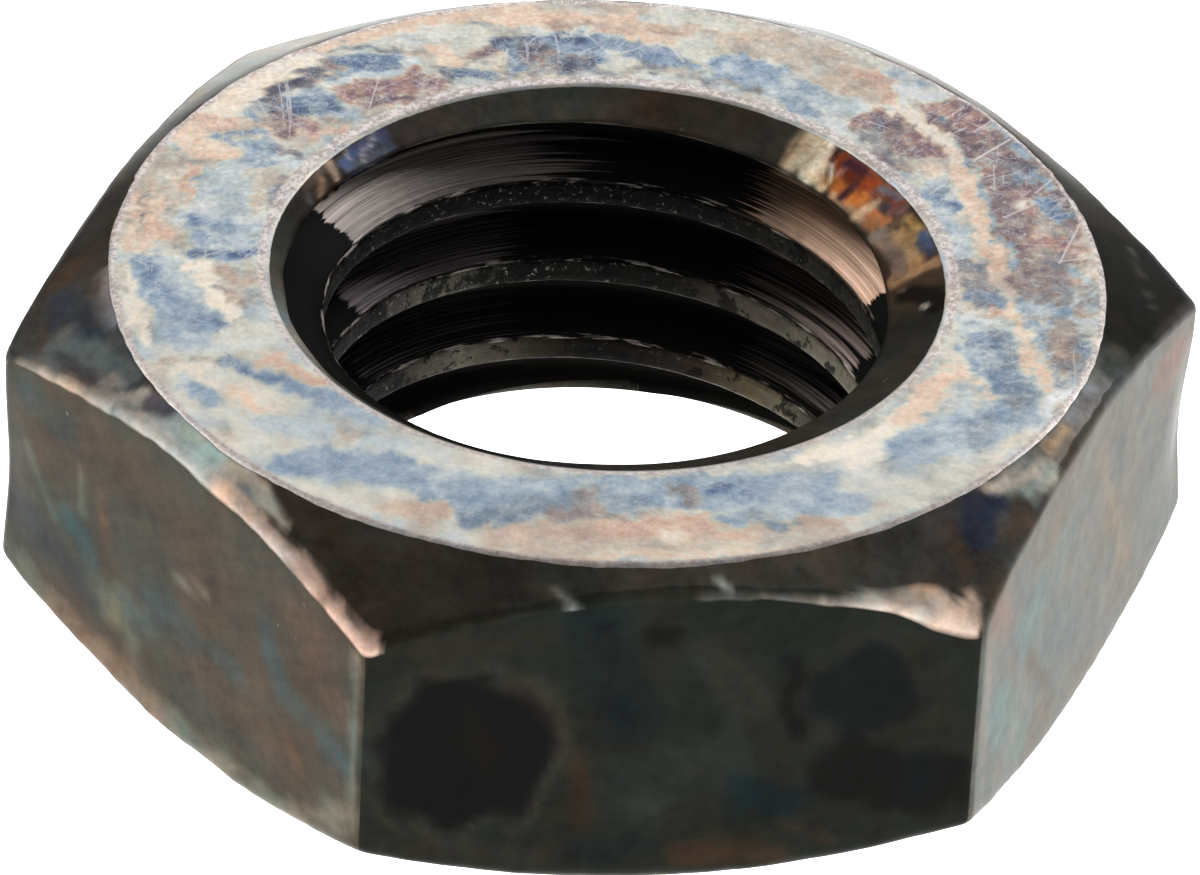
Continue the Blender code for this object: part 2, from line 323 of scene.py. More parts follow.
# The stains on the faced end are strokes of a brush, seen from above: start x and y, end x and y,
# half width, temper colour and shade. Later strokes lie over earlier ones.
FACE_STAINS = (
    # grounds, laid first
    (7.0, 4.6, 7.9, 3.0, 0.56, "plum", 1.0),
    (7.9, 3.0, 8.0, 1.0, 0.80, "plum", 0.95),
    (7.9, 1.0, 8.0, -1.0, 0.76, "mauve", 0.95),
    (7.7, -2.2, 7.9, -3.3, 0.42, "slate", 0.95),
    (5.6, 4.4, 6.4, 3.6, 0.45, "plum", 1.0),
    (6.3, 2.4, 6.5, 1.7, 0.25, "blue", 1.0),
    (6.5, -0.2, 6.7, -1.4, 0.30, "slate", 1.0),
    (6.6, -2.6, 6.7, -4.2, 0.38, "blue", 1.0),
    (-1.5, 6.95, -0.3, 7.25, 0.36, "slate", 1.0),
    (-0.3, 7.3, 1.2, 7.2, 0.42, "blue", 0.9),
    (1.2, 7.05, 2.1, 6.8, 0.36, "blue", 0.95),
    (-5.2, 5.3, -4.9, 6.2, 0.38, "mauve", 1.0),
    (-4.8, 5.9, -3.4, 6.3, 0.34, "slate", 1.0),
    (-4.5, 6.75, -3.3, 7.15, 0.28, "blue", 0.9),
    (-6.4, -5.5, -4.2, -5.8, 0.40, "blue", 1.0),
    (-3.8, -6.7, 1.0, -6.9, 0.55, "blue", 1.0),
    (1.0, -6.9, 3.2, -7.2, 0.60, "pale blue", 1.0),
    (-2.8, -8.1, 2.6, -8.2, 0.45, "rose", 1.0),
    (-6.6, 3.6, -6.9, 1.6, 0.55, "mist", 0.95),
    (-8.2, 0.8, -7.8, -1.4, 0.42, "pale blue", 1.0),
    (-8.0, 4.0, -8.2, 2.0, 0.50, "dusty", 1.0),
    (4.6, -5.8, 6.6, -4.9, 0.55, "pale blue", 1.0),
    (4.6, 6.8, 5.8, 5.6, 0.50, "dusty", 1.0),
    (3.2, 6.5, 4.4, 5.6, 0.50, "pale blue", 1.0),
    # back, outer band
    (-6.6, 5.8, -4.7, 7.5, 0.45, "cream", 1.05),
    (-4.4, 7.8, -2.5, 8.4, 0.30, "peach", 1.0),
    (-2.5, 8.5, 0.0, 8.75, 0.25, "peach", 1.0),
    (0.0, 8.7, 2.5, 8.5, 0.25, "dusty", 1.1),
    (-2.3, 8.1, -1.3, 8.0, 0.25, "grey", 1.05),
    (-0.9, 8.4, 0.0, 8.3, 0.22, "peach", 1.05),
    (0.0, 8.4, 1.6, 8.25, 0.15, "peach", 1.0),
    (0.0, 8.15, 0.9, 8.1, 0.12, "rose", 1.0),
    (1.0, 7.95, 2.4, 7.8, 0.20, "rose", 1.05),
    (1.4, 7.7, 2.2, 7.45, 0.13, "peach", 1.0),
    (2.4, 7.95, 3.0, 7.8, 0.20, "dusty", 1.05),
    (2.2, 8.4, 4.0, 7.9, 0.30, "grey", 1.0),
    (2.5, 7.4, 2.8, 6.6, 0.26, "grey", 1.0),
    (3.1, 7.5, 4.3, 7.4, 0.25, "dusty", 1.1),
    (3.3, 7.1, 4.3, 6.9, 0.18, "dusty", 1.05),
    (4.4, 7.3, 5.6, 6.4, 0.36, "dusty", 1.0),
    (4.5, 6.5, 5.7, 5.5, 0.42, "dusty", 0.95),
    (5.4, 6.3, 5.9, 6.0, 0.14, "tan", 0.9),
    (4.5, 7.75, 6.3, 6.4, 0.18, "grey", 0.95),
    (6.2, 6.1, 6.45, 5.8, 0.16, "mist", 1.0),
    (6.3, 5.5, 6.9, 5.3, 0.18, "bare", 0.9),
    (5.95, 5.6, 6.05, 5.2, 0.10, "tan", 1.0),
    # back, the arch behind the bore
    (-1.8, 6.7, 2.3, 6.6, 0.22, "slate", 1.0),
    (-1.0, 7.45, -0.3, 7.68, 0.20, "indigo", 1.0),
    (0.1, 7.55, 1.0, 7.5, 0.30, "blue", 0.95),
    (0.2, 7.75, 0.35, 7.7, 0.14, "indigo", 1.1),
    (1.0, 7.3, 2.1, 6.95, 0.27, "blue", 1.0),
    (1.9, 6.75, 2.4, 6.5, 0.18, "blue", 1.0),
    (1.3, 6.55, 2.2, 6.45, 0.10, "slate", 1.0),
    (-0.8, 7.3, -0.7, 6.8, 0.20, "deep blue", 1.0),
    (-0.4, 7.3, 0.4, 6.9, 0.28, "purple", 1.1),
    (-0.3, 7.1, -0.1, 6.8, 0.14, "plum", 1.0),
    (0.15, 7.45, 0.6, 7.2, 0.20, "blue", 0.95),
    (0.0, 6.7, 0.45, 6.65, 0.10, "purple", 1.1),
    (0.85, 6.8, 1.25, 6.75, 0.19, "grey", 1.0),
    (1.05, 6.95, 1.1, 7.05, 0.12, "grey", 1.0),
    (-1.5, 6.8, -1.05, 7.15, 0.17, "grey", 0.95),
    (-1.85, 7.1, -1.2, 7.42, 0.12, "plum", 1.0),
    (-1.9, 6.65, -1.3, 6.6, 0.12, "deep blue", 1.0),
    # back left, two leaves of blue and brown
    (-4.3, 7.55, -3.0, 7.6, 0.16, "grey", 1.0),
    (-3.0, 7.5, -2.4, 7.25, 0.12, "dusty", 0.95),
    (-2.2, 7.5, -1.95, 7.0, 0.20, "peach", 1.0),
    (-4.2, 7.1, -3.1, 7.18, 0.25, "deep blue", 1.0),
    (-4.3, 7.2, -4.05, 7.0, 0.10, "plum", 1.0),
    (-5.3, 6.4, -4.4, 6.8, 0.20, "purple", 1.0),
    (-5.45, 6.3, -5.4, 5.8, 0.15, "purple", 1.0),
    (-5.15, 6.15, -3.9, 6.55, 0.11, "mist", 1.0),
    (-3.9, 6.55, -2.6, 7.05, 0.12, "mist", 1.05),
    (-4.45, 7.1, -4.1, 6.75, 0.05, "dusty", 1.0),
    (-5.0, 5.9, -4.4, 5.95, 0.25, "deep blue", 1.1),
    (-4.7, 6.2, -4.25, 6.1, 0.12, "pale blue", 1.0),
    (-5.0, 5.6, -4.3, 5.6, 0.16, "deep blue", 1.0),
    (-4.25, 5.5, -4.0, 5.35, 0.14, "mist", 1.0),
    (-5.35, 5.5, -5.25, 4.9, 0.14, "plum", 1.0),
    (-5.1, 5.15, -4.7, 5.0, 0.16, "brown", 1.0),
    (-4.85, 4.8, -4.35, 4.95, 0.13, "tan", 1.0),
    (-4.0, 6.15, -2.6, 6.5, 0.24, "brown", 1.0),
    (-2.65, 6.6, -2.35, 6.25, 0.24, "brown", 1.0),
    (-3.1, 6.5, -2.85, 6.2, 0.15, "russet", 0.95),
    (-3.6, 5.8, -2.8, 5.9, 0.17, "plum", 1.1),
    (-4.05, 5.95, -3.95, 5.85, 0.12, "russet", 1.0),
    (-3.75, 5.5, -3.3, 5.6, 0.11, "dusty", 1.1),
    (-4.4, 7.62, -3.5, 7.68, 0.04, "slate", 1.0),
    (-3.5, 7.68, -2.75, 7.4, 0.05, "slate", 1.0),
    (-2.75, 7.4, -2.15, 6.9, 0.05, "dusty", 1.0),
    (-2.15, 6.9, -2.05, 6.3, 0.07, "slate", 1.0),
    # left
    (-7.2, 5.3, -7.0, 4.7, 0.25, "peach", 1.05),
    (-7.6, 4.3, -8.1, 2.9, 0.38, "dusty", 1.0),
    (-8.1, 2.9, -8.3, 1.6, 0.32, "peach", 0.95),
    (-7.15, 3.9, -7.35, 3.0, 0.13, "tan", 1.0),
    (-7.65, 3.7, -7.55, 3.0, 0.20, "grey", 0.85),
    (-7.9, 3.4, -7.85, 3.2, 0.09, "tan", 1.0),
    (-8.0, 3.1, -8.35, 1.8, 0.05, "mauve", 1.15),
    (-8.1, 2.0, -7.8, 1.8, 0.18, "tan", 1.0),
    (-6.75, 5.35, -6.35, 5.2, 0.25, "tan", 1.05),
    (-6.55, 4.85, -5.7, 5.02, 0.07, "blue", 1.0),
    (-5.95, 5.65, -5.75, 5.4, 0.12, "blue", 1.0),
    (-6.9, 4.5, -6.2, 4.35, 0.22, "peach", 1.0),
    (-6.1, 4.6, -5.8, 4.0, 0.20, "blue", 1.05),
    (-5.7, 4.85, -5.55, 4.3, 0.16, "blue", 0.95),
    (-5.45, 4.3, -5.2, 4.15, 0.12, "slate", 1.0),
    (-6.5, 3.7, -6.9, 2.6, 0.36, "mist", 0.95),
    (-6.0, 3.1, -6.1, 2.6, 0.13, "dusty", 1.0),
    (-5.55, 3.4, -5.75, 2.6, 0.10, "slate", 1.1),
    (-7.25, 2.2, -6.6, 1.95, 0.22, "blue", 1.0),
    (-6.4, 2.05, -6.05, 1.9, 0.15, "pale blue", 1.0),
    (-7.3, 1.65, -7.1, 1.4, 0.15, "blue", 1.0),
    (-6.8, 1.6, -6.3, 1.5, 0.16, "mist", 1.0),
    (-7.5, 1.15, -7.0, 1.05, 0.12, "deep blue", 1.0),
    (-6.9, 0.95, -6.25, 1.1, 0.14, "deep blue", 1.1),
    (-7.45, 0.6, -6.9, -0.8, 0.25, "cream", 1.05),
    (-6.9, 0.55, -6.65, 0.3, 0.18, "rose", 0.9),
    (-7.0, 0.1, -6.65, -0.6, 0.10, "mauve", 1.1),
    (-6.6, -0.3, -6.45, -0.5, 0.12, "slate", 1.0),
    (-6.4, 0.5, -6.3, 0.0, 0.10, "dusty", 1.0),
    (-8.35, 1.0, -8.3, 0.2, 0.20, "blue", 1.0),
    (-8.3, 0.0, -7.5, -1.0, 0.33, "blue", 1.0),
    (-7.3, -0.95, -7.2, -1.2, 0.14, "deep blue", 1.1),
    (-7.9, 0.95, -7.65, 0.2, 0.18, "mist", 1.0),
    (-8.67, 0.6, -8.58, -1.6, 0.10, "cream", 1.0),
    (-8.05, -1.4, -7.6, -1.6, 0.24, "pale blue", 1.0),
    (-7.0, -1.5, -6.3, -1.5, 0.30, "grey", 1.0),
    # front left
    (-8.3, -2.2, -6.1, -2.0, 0.07, "dusty", 0.95),
    (-7.9, -2.5, -7.6, -2.9, 0.19, "cream", 0.95),
    (-7.5, -2.55, -6.9, -3.0, 0.18, "grey", 1.05),
    (-7.1, -3.3, -6.7, -3.9, 0.18, "peach", 1.05),
    (-6.0, -3.1, -5.0, -4.0, 0.30, "blue", 1.0),
    (-5.0, -4.0, -4.6, -4.35, 0.22, "pale blue", 1.0),
    (-7.2, -2.3, -6.4, -2.9, 0.13, "deep blue", 1.1),
    (-6.4, -2.3, -5.6, -2.95, 0.19, "tan", 0.95),
    (-7.85, -3.1, -7.5, -3.65, 0.18, "blue", 1.05),
    (-7.3, -3.8, -6.8, -4.6, 0.33, "grey", 1.0),
    (-6.7, -4.25, -5.6, -4.6, 0.28, "mist", 1.0),
    (-5.0, -4.9, -4.2, -5.2, 0.22, "mist", 1.0),
    (-6.2, -5.3, -5.3, -5.3, 0.24, "pale blue", 1.0),
    (-5.3, -5.4, -4.5, -5.8, 0.28, "blue", 1.0),
    (-4.15, -5.3, -4.0, -5.5, 0.18, "grey", 1.05),
    (-5.8, -6.0, -4.1, -6.25, 0.18, "blue", 1.0),
    (-3.8, -6.3, -2.9, -6.4, 0.30, "pale blue", 1.0),
    (-6.5, -6.2, -5.4, -6.9, 0.18, "grey", 1.0),
    (-4.7, -6.5, -4.5, -6.5, 0.15, "grey", 1.0),
    (-4.8, -7.0, -4.0, -7.15, 0.24, "rose", 1.05),
    # front
    (-2.9, -6.5, 0.0, -6.6, 0.26, "pale blue", 1.0),
    (-2.2, -6.4, -1.5, -6.5, 0.14, "mist", 1.0),
    (-3.4, -7.4, -2.6, -7.3, 0.30, "steel", 1.0),
    (-2.4, -7.0, -1.8, -7.2, 0.25, "steel", 1.0),
    (-1.9, -7.4, -1.2, -7.2, 0.22, "mauve", 1.0),
    (-1.4, -6.9, -1.2, -6.8, 0.14, "mauve", 1.0),
    (-0.9, -7.0, -0.4, -7.2, 0.22, "steel", 1.0),
    (-1.2, -7.5, -0.3, -7.5, 0.12, "mauve", 1.05),
    (0.05, -7.25, 0.15, -6.9, 0.10, "mist", 1.0),
    (0.35, -6.8, 0.6, -7.2, 0.18, "mauve", 1.0),
    (-2.8, -8.35, 3.0, -8.4, 0.25, "dusty", 1.05),
    (-2.5, -8.72, 2.5, -8.76, 0.10, "peach", 0.95),
    (-2.6, -7.85, -1.4, -7.8, 0.22, "rose", 1.0),
    (-1.0, -7.85, 0.3, -7.9, 0.24, "tan", 1.0),
    (0.0, -8.2, 0.2, -8.1, 0.18, "cream", 0.95),
    (0.35, -7.6, 0.7, -7.9, 0.14, "tan", 0.95),
    (0.9, -8.2, 1.3, -8.3, 0.14, "tan", 1.0),
    (1.6, -6.6, 3.1, -6.95, 0.38, "pale blue", 1.0),
    (1.0, -6.8, 1.4, -7.1, 0.20, "deep blue", 1.05),
    (1.0, -7.8, 1.3, -7.7, 0.18, "blue", 1.0),
    (2.1, -7.6, 3.0, -7.4, 0.30, "pale blue", 1.0),
    (1.6, -7.6, 1.9, -8.1, 0.14, "steel", 1.0),
    (2.5, -7.92, 3.2, -7.9, 0.11, "rose", 1.0),
    (2.0, -8.05, 2.2, -8.0, 0.11, "steel", 1.0),
    (1.0, -6.3, 2.4, -6.15, 0.10, "grey", 1.05),
    # front right
    (3.4, -6.95, 4.6, -7.0, 0.28, "grey", 1.0),
    (3.2, -8.05, 4.5, -7.45, 0.12, "grey", 0.95),
    (2.7, -6.0, 3.9, -5.6, 0.24, "cream", 1.1),
    (3.6, -6.2, 4.7, -4.9, 0.28, "cream", 1.05),
    (4.7, -4.9, 5.8, -3.5, 0.24, "peach", 1.05),
    (4.8, -5.8, 5.8, -5.2, 0.50, "pale blue", 1.05),
    (6.0, -5.7, 6.9, -4.3, 0.33, "steel", 1.05),
    (6.3, -5.5, 6.5, -4.75, 0.20, "blue", 1.0),
    (6.7, -4.75, 6.75, -4.4, 0.14, "slate", 1.0),
    (5.8, -4.8, 6.0, -4.1, 0.14, "mist", 1.0),
    (6.15, -3.7, 6.3, -4.4, 0.05, "peach", 1.0),
    (6.5, -2.9, 6.8, -4.0, 0.30, "steel", 1.05),
    (6.75, -2.35, 6.92, -3.3, 0.13, "steel", 0.95),
    (6.0, -2.7, 6.3, -3.3, 0.14, "pale blue", 1.05),
    (6.1, -3.2, 6.2, -3.7, 0.07, "blue", 1.0),
    (5.4, -2.9, 6.0, -2.2, 0.22, "grey", 1.05),
    (6.1, -6.25, 7.0, -5.35, 0.11, "cream", 0.95),
    (7.0, -5.35, 7.7, -4.35, 0.11, "bare", 1.0),
    (7.5, -4.55, 7.7, -4.3, 0.07, "bare", 1.1),
    # right
    (7.45, -3.6, 7.65, -4.0, 0.13, "steel", 1.0),
    (7.6, -2.2, 7.7, -3.1, 0.20, "blue", 1.0),
    (8.0, -2.2, 7.95, -3.0, 0.24, "mauve", 0.9),
    (7.75, -3.1, 7.82, -3.7, 0.12, "mauve", 0.95),
    (8.2, -2.85, 8.3, -3.2, 0.11, "steel", 1.0),
    (8.4, -2.3, 8.55, -2.6, 0.10, "grey", 1.0),
    (7.6, -0.3, 8.35, -0.6, 0.28, "mauve", 1.0),
    (7.65, -1.15, 8.3, -1.2, 0.16, "slate", 1.0),
    (7.7, -1.0, 7.95, -1.2, 0.12, "plum", 1.0),
    (8.5, -0.5, 8.6, -0.9, 0.14, "blue", 1.0),
    (7.45, -1.55, 8.3, -1.9, 0.19, "pale blue", 0.95),
    (8.2, -1.6, 8.65, -1.15, 0.07, "mist", 1.0),
    (8.45, -1.75, 8.55, -2.0, 0.11, "brown", 1.0),
    (7.6, 2.4, 7.9, 1.5, 0.34, "plum", 1.0),
    (7.6, 1.4, 7.9, 0.6, 0.34, "plum", 1.0),
    (7.6, 0.7, 7.7, 0.2, 0.26, "plum", 1.0),
    (8.1, 0.6, 8.6, 0.15, 0.22, "russet", 0.95),
    (7.5, 0.0, 8.2, -0.1, 0.14, "mauve", 1.0),
    (8.25, 0.55, 8.35, 0.35, 0.13, "russet", 0.9),
    (8.3, 1.75, 8.55, 1.2, 0.20, "deep blue", 1.15),
    (8.5, 1.35, 8.55, 1.2, 0.10, "deep blue", 1.0),
    (8.15, 2.7, 8.45, 2.2, 0.14, "pale blue", 1.0),
    (7.9, 2.7, 8.05, 2.4, 0.14, "steel", 1.0),
    (7.1, 4.05, 7.85, 3.4, 0.28, "plum", 0.95),
    (7.4, 3.1, 8.1, 2.85, 0.15, "purple", 1.1),
    (7.3, 4.55, 7.4, 4.2, 0.20, "brown", 1.0),
    (6.75, 4.9, 7.1, 4.5, 0.16, "brown", 1.0),
    (6.78, 4.65, 6.85, 4.5, 0.07, "deep blue", 1.0),
    (7.0, 4.95, 7.2, 4.8, 0.08, "tan", 0.9),
    (7.7, 4.2, 7.9, 3.9, 0.11, "pale blue", 1.0),
    (8.1, 3.6, 8.3, 3.0, 0.11, "blue", 1.0),
    (8.0, 1.75, 7.75, 1.6, 0.10, "grey", 1.0),
    # right, inside the long streak, then the streak
    (5.7, 4.7, 6.1, 4.4, 0.20, "plum", 1.0),
    (5.85, 4.2, 6.3, 4.1, 0.25, "plum", 0.95),
    (6.2, 3.9, 6.6, 3.35, 0.22, "brown", 1.0),
    (5.6, 4.45, 5.5, 4.2, 0.14, "purple", 1.1),
    (5.3, 4.15, 5.6, 3.8, 0.20, "slate", 1.0),
    (5.6, 3.45, 5.9, 3.0, 0.20, "mauve", 1.0),
    (6.2, 2.9, 6.7, 3.0, 0.20, "dusty", 1.1),
    (6.0, 2.6, 6.2, 2.3, 0.15, "grey", 0.9),
    (6.3, 2.3, 6.6, 2.0, 0.15, "steel", 1.0),
    (6.5, 1.8, 6.7, 1.7, 0.11, "deep blue", 1.1),
    (6.3, 1.45, 6.6, 0.4, 0.20, "mist", 1.0),
    (6.5, -0.1, 6.9, -0.3, 0.15, "slate", 1.05),
    (6.4, -0.6, 6.8, -0.9, 0.20, "slate", 1.1),
    (6.4, -1.2, 6.9, -1.4, 0.15, "steel", 1.1),
    (6.3, -1.9, 6.7, -2.0, 0.12, "bare", 1.0),
    (6.2, -2.35, 6.5, -2.15, 0.12, "mist", 1.0),
    (6.95, 3.8, 7.1, 3.2, 0.07, "blue", 1.0),
    (7.12, 3.1, 7.2, 2.2, 0.08, "blue", 1.0),
    (7.2, 2.2, 7.25, 1.0, 0.08, "blue", 1.05),
    (7.28, 0.6, 7.35, -0.6, 0.07, "blue", 1.0),
    (6.15, 4.85, 6.5, 4.4, 0.16, "cream", 0.95),
    (6.5, 4.4, 6.82, 3.6, 0.17, "cream", 0.95),
    (6.82, 3.6, 6.95, 2.6, 0.18, "peach", 0.95),
    (6.95, 2.6, 7.0, 1.4, 0.19, "peach", 1.0),
    (7.0, 1.4, 7.0, 0.4, 0.18, "peach", 1.0),
    (7.0, 0.4, 7.1, -0.6, 0.18, "peach", 0.95),
    (7.1, -0.6, 7.15, -1.5, 0.14, "dusty", 1.05),
    (6.85, -1.75, 6.95, -1.65, 0.12, "tan", 1.0),
    (7.35, -1.6, 7.4, -3.2, 0.07, "pale blue", 1.0),
    (7.1, -1.6, 7.25, -3.3, 0.13, "peach", 1.05),
    (7.25, -3.3, 7.42, -4.2, 0.13, "peach", 1.0),
    # back right
    (3.1, 6.5, 4.1, 6.2, 0.33, "blue", 1.05),
    (4.1, 6.2, 4.4, 5.9, 0.20, "pale blue", 1.0),
    (3.6, 5.8, 4.2, 5.3, 0.20, "pale blue", 1.0),
    (4.2, 5.2, 4.5, 4.95, 0.16, "blue", 1.0),
    (4.7, 5.3, 5.4, 4.9, 0.26, "mist", 1.0),
    (2.2, 6.4, 3.5, 5.75, 0.12, "slate", 1.0),
)
plan = points[:, :2]
drift = np.column_stack([ripples(plan, 1.3, 31), ripples(plan, 1.3, 32)]) * 0.045
drift += np.column_stack([ripples(plan, 0.42, 33), ripples(plan, 0.42, 34)]) * 0.040
drifted = plan + drift
ragged = ripples(plan, 0.25, 35)


def line_gap(spots, x0, y0, x1, y1):
    """Distance of each spot from the straight line between two points."""
    start, way = np.array([x0, y0]), np.array([x1 - x0, y1 - y0])
    along = np.clip(((spots - start) @ way) / (way @ way), 0.0, 1.0)
    return np.linalg.norm(spots - start - along[:, None] * way, axis=1)


def stain(where, layers, brown, blue, light, softness):
    """Lays strokes one over another: cover is an eased step of the distance to each stroke's line."""
    for x0, y0, x1, y1, width, tone, shade in layers:
        straw, sky = TEMPER_TONES[tone]
        gap = line_gap(drifted, x0, y0, x1, y1) + ragged * 0.03
        ease = np.minimum(softness, width * 0.8 + 0.03)
        cover = rise(width + ease, width - ease, gap) * where
        brown += (straw - brown) * cover
        blue += (sky - blue) * cover
        light += (shade - light) * cover


def by_angle(table, degrees):
    """Values at each angle, from rows of an angle in degrees and the values there."""
    table = np.array(table, dtype=float)
    columns = [np.interp(degrees, table[:, 0], values) for values in table[:, 1:].T]
    return columns[0] if len(columns) == 1 else np.column_stack(columns)


is_face = np.isin(zone, ("face", "lip")).astype(float)
brown = 0.16 + 0.05 * ripples(plan, 1.4, 41)
blue = 0.27 + 0.06 * ripples(plan, 1.8, 42)
clear = np.isin(zone, ("face", "lip", "under_face", "under_lip")).astype(float)
light = np.ones(len(points))
# By angle: how wide the inner and outer rims of the face are rubbed, how far the inner one goes on
# into the sink, and how crisp the finish is, which is most over the back half.
RIM_WIDTHS = ((-99, 0.06), (-40, 0.08), (-20, 0.16), (0, 0.22), (45, 0.26), (60, 0.28), (75, 0.34),
              (95, 0.28), (115, 0.32), (135, 0.30), (150, 0.24), (170, 0.14), (195, 0.07), (261, 0.06))
OUTER_WIDTHS = ((-99, 0.08), (-30, 0.07), (0, 0.07), (40, 0.09), (60, 0.15), (165, 0.15), (190, 0.10),
                (261, 0.08))
SPILL_WIDTHS = ((-99, 0.02), (-30, 0.02), (-15, 0.03), (185, 0.03), (200, 0.02), (261, 0.02))
CRISPNESS = ((-99, 0.45), (-60, 0.35), (-40, 0.6), (-20, 0.9), (0, 1.0), (165, 1.0), (185, 0.6),
             (205, 0.35), (230, 0.25), (261, 0.45))
rim_width = by_angle(RIM_WIDTHS, turned)
crisp = by_angle(CRISPNESS, turned)
stain(is_face, FACE_STAINS, brown, blue, light, 0.06 + 0.12 * (1.0 - crisp))
rubbed = rise(rim_width, rim_width * 0.25, radius - SINK_RADIUS - RIM_LIP)
outer_width = by_angle(OUTER_WIDTHS, turned) * (1.0 + 0.25 * ripples(plan, 1.1, 44))
outer_rub = rise(outer_width, outer_width * 0.2, FACE_RADIUS - 0.03 - radius)
rubbed = np.maximum(rubbed, 0.85 * outer_rub) * is_face
# Scale is left on the face's lip round the back.
dark_lip = (zone == "lip") * rise(-8.0, 4.0, turned) * rise(172.0, 160.0, turned)
dark_lip *= rise(0.015, 0.035, radius - FACE_RADIUS)
clear *= 1.0 - np.clip(dark_lip, 0.0, 1.0)
# The rubbed rim goes on over the corner and fades out a little below it.
rub_end = SINK_RADIUS - by_angle(SPILL_WIDTHS, turned)
spilled = np.isin(zone, ("rim", "sink")) * rise(rub_end - 0.10, rub_end + 0.04, radius)
clear = np.maximum(clear, spilled)
rubbed = np.maximum(rubbed, 0.55 * spilled)

# Colours of the black scale as they look on a screen: by angle on the chamfer and in the sink, and
# one for each flat. They are partly the scale's own colour and partly painted light and shade: the
# front flat is painted dark as the shade it lies in, and the right flat and the bright angles of the
# chamfer and sink are painted pale as light and reflection. BACK_GLARE says by angle how pale the outer
# part of the chamfer is: a painted glare of the back lights.
CHAMFER_TONES_WITH_PAINTED_LIGHT = (
    (-99, 70, 64, 56), (-90, 80, 74, 66), (-75, 90, 81, 70), (-65, 80, 73, 66), (-55, 76, 73, 70),
    (-45, 128, 130, 123), (-30, 176, 180, 182), (-22, 120, 118, 112), (-15, 34, 33, 29), (-5, 36, 34, 30),
    (0, 20, 20, 16), (5, 30, 30, 26), (10, 56, 54, 50), (16, 60, 58, 50), (20, 76, 72, 64),
    (30, 120, 116, 108), (45, 122, 118, 110), (60, 124, 122, 116), (75, 136, 130, 118), (90, 192, 188, 176),
    (105, 112, 105, 98), (120, 118, 114, 104), (135, 84, 82, 74), (150, 66, 66, 58), (158, 50, 47, 40),
    (170, 58, 52, 46), (180, 90, 86, 82), (190, 84, 82, 80), (200, 76, 71, 67), (225, 68, 62, 55),
    (250, 60, 55, 48), (261, 70, 64, 56),
)
BACK_GLARE = ((-99, 0.0), (12, 0.0), (20, 0.7), (30, 1.0), (120, 1.0), (135, 0.85), (150, 0.7), (159, 0.0),
              (261, 0.0))
SINK_TONES_WITH_PAINTED_LIGHT = (
    (-99, 60, 56, 48), (-30, 62, 58, 50), (-15, 52, 48, 40), (-4, 82, 70, 58), (12, 74, 60, 48),
    (46, 86, 80, 70), (52, 78, 76, 70), (62, 76, 74, 68), (75, 88, 76, 66), (90, 106, 98, 86),
    (105, 100, 97, 88), (120, 90, 80, 74), (150, 70, 62, 54), (156, 60, 52, 42), (165, 84, 76, 64),
    (176, 96, 88, 76), (183, 136, 128, 118), (195, 176, 168, 156), (210, 116, 108, 98), (230, 66, 62, 54),
    (261, 60, 56, 48),
)
FLAT_TONES_WITH_PAINTED_LIGHT = ((58, 58, 51), (52, 54, 48), (54, 56, 49), (63, 56, 44), (25, 28, 21), (91, 89, 80))
PLAIN_SCALE = (60.0, 56.0, 48.0)
GLARE_TONE = (188.0, 187.0, 178.0)
GLARE_START = 9.05
GLARE_FULL = 9.55
PALEST_EDGE = 80.0
EDGE_BLEND = 0.24
LEFT_FLAT, FRONT_FLAT, RIGHT_FLAT = 3, 4, 5
# Marks in the scale are strokes too: start, end, half width, red, green, blue and how much they
# shine as metal. Their places are the way along a flat and the height on it, or the angle and the
# radius on a cone, with the angle counted in steps of so many degrees.
SINK_STEP = 10.0
CHAMFER_STEP = 6.0
# The marks on the three flats are given at each flat's painted lightness, darkest on the front and palest on
# the right, so they carry the same painted shade and light as the flats' tones.
FRONT_MARKS = (
    (-4.6, 5.5, -2.4, 5.7, 0.25, 34, 30, 22, 0.0),
    (-1.3, 5.9, -0.8, 3.9, 0.55, 18, 26, 24, 0.0),
    (-1.35, 5.85, -1.2, 5.85, 0.14, 3, 9, 11, 0.0),
    (-0.45, 5.65, -0.1, 5.6, 0.16, 6, 6, 4, 0.0),
    (-0.95, 4.1, -0.85, 3.9, 0.22, 5, 15, 17, 0.0),
    (0.6, 5.1, 1.6, 4.1, 0.42, 36, 35, 28, 0.0),
    (2.15, 4.8, 2.25, 3.4, 0.22, 5, 6, 4, 0.0),
    (3.5, 4.1, 3.55, 4.1, 1.16, 34, 32, 25, 0.0),
    (3.5, 4.1, 3.55, 4.1, 1.00, 8, 15, 15, 0.0),
    (3.3, 2.5, 4.9, 2.0, 0.66, 8, 7, 5, 0.0),
    (4.3, 2.6, 4.5, 2.1, 0.30, 5, 11, 12, 0.0),
    (-0.9, 2.3, 0.9, 2.8, 0.62, 30, 35, 29, 0.0),
    (-0.5, 2.0, -0.2, 1.8, 0.28, 42, 46, 38, 0.0),
    (1.5, 2.0, 1.9, 1.8, 0.45, 8, 24, 28, 0.0),
    (-5.0, 1.2, -2.2, 0.9, 0.22, 38, 34, 27, 0.0),
    (-1.6, 1.0, 0.2, 0.9, 0.22, 20, 26, 24, 0.0),
    (0.2, 0.75, 2.0, 0.7, 0.22, 50, 38, 27, 0.0),
    (2.1, 1.35, 2.9, 1.0, 0.12, 44, 36, 27, 0.0),
    (-3.68, 3.25, -3.66, 3.25, 1.92, 44, 43, 35, 0.0),
    (-3.70, 3.25, -3.68, 3.25, 1.62, 4, 3, 2, 0.0),
    (-3.6, 4.0, -3.3, 3.0, 0.35, 8, 6, 3, 0.0),
    (-1.66, 2.9, -1.6, 1.7, 0.20, 42, 32, 22, 0.0),
)
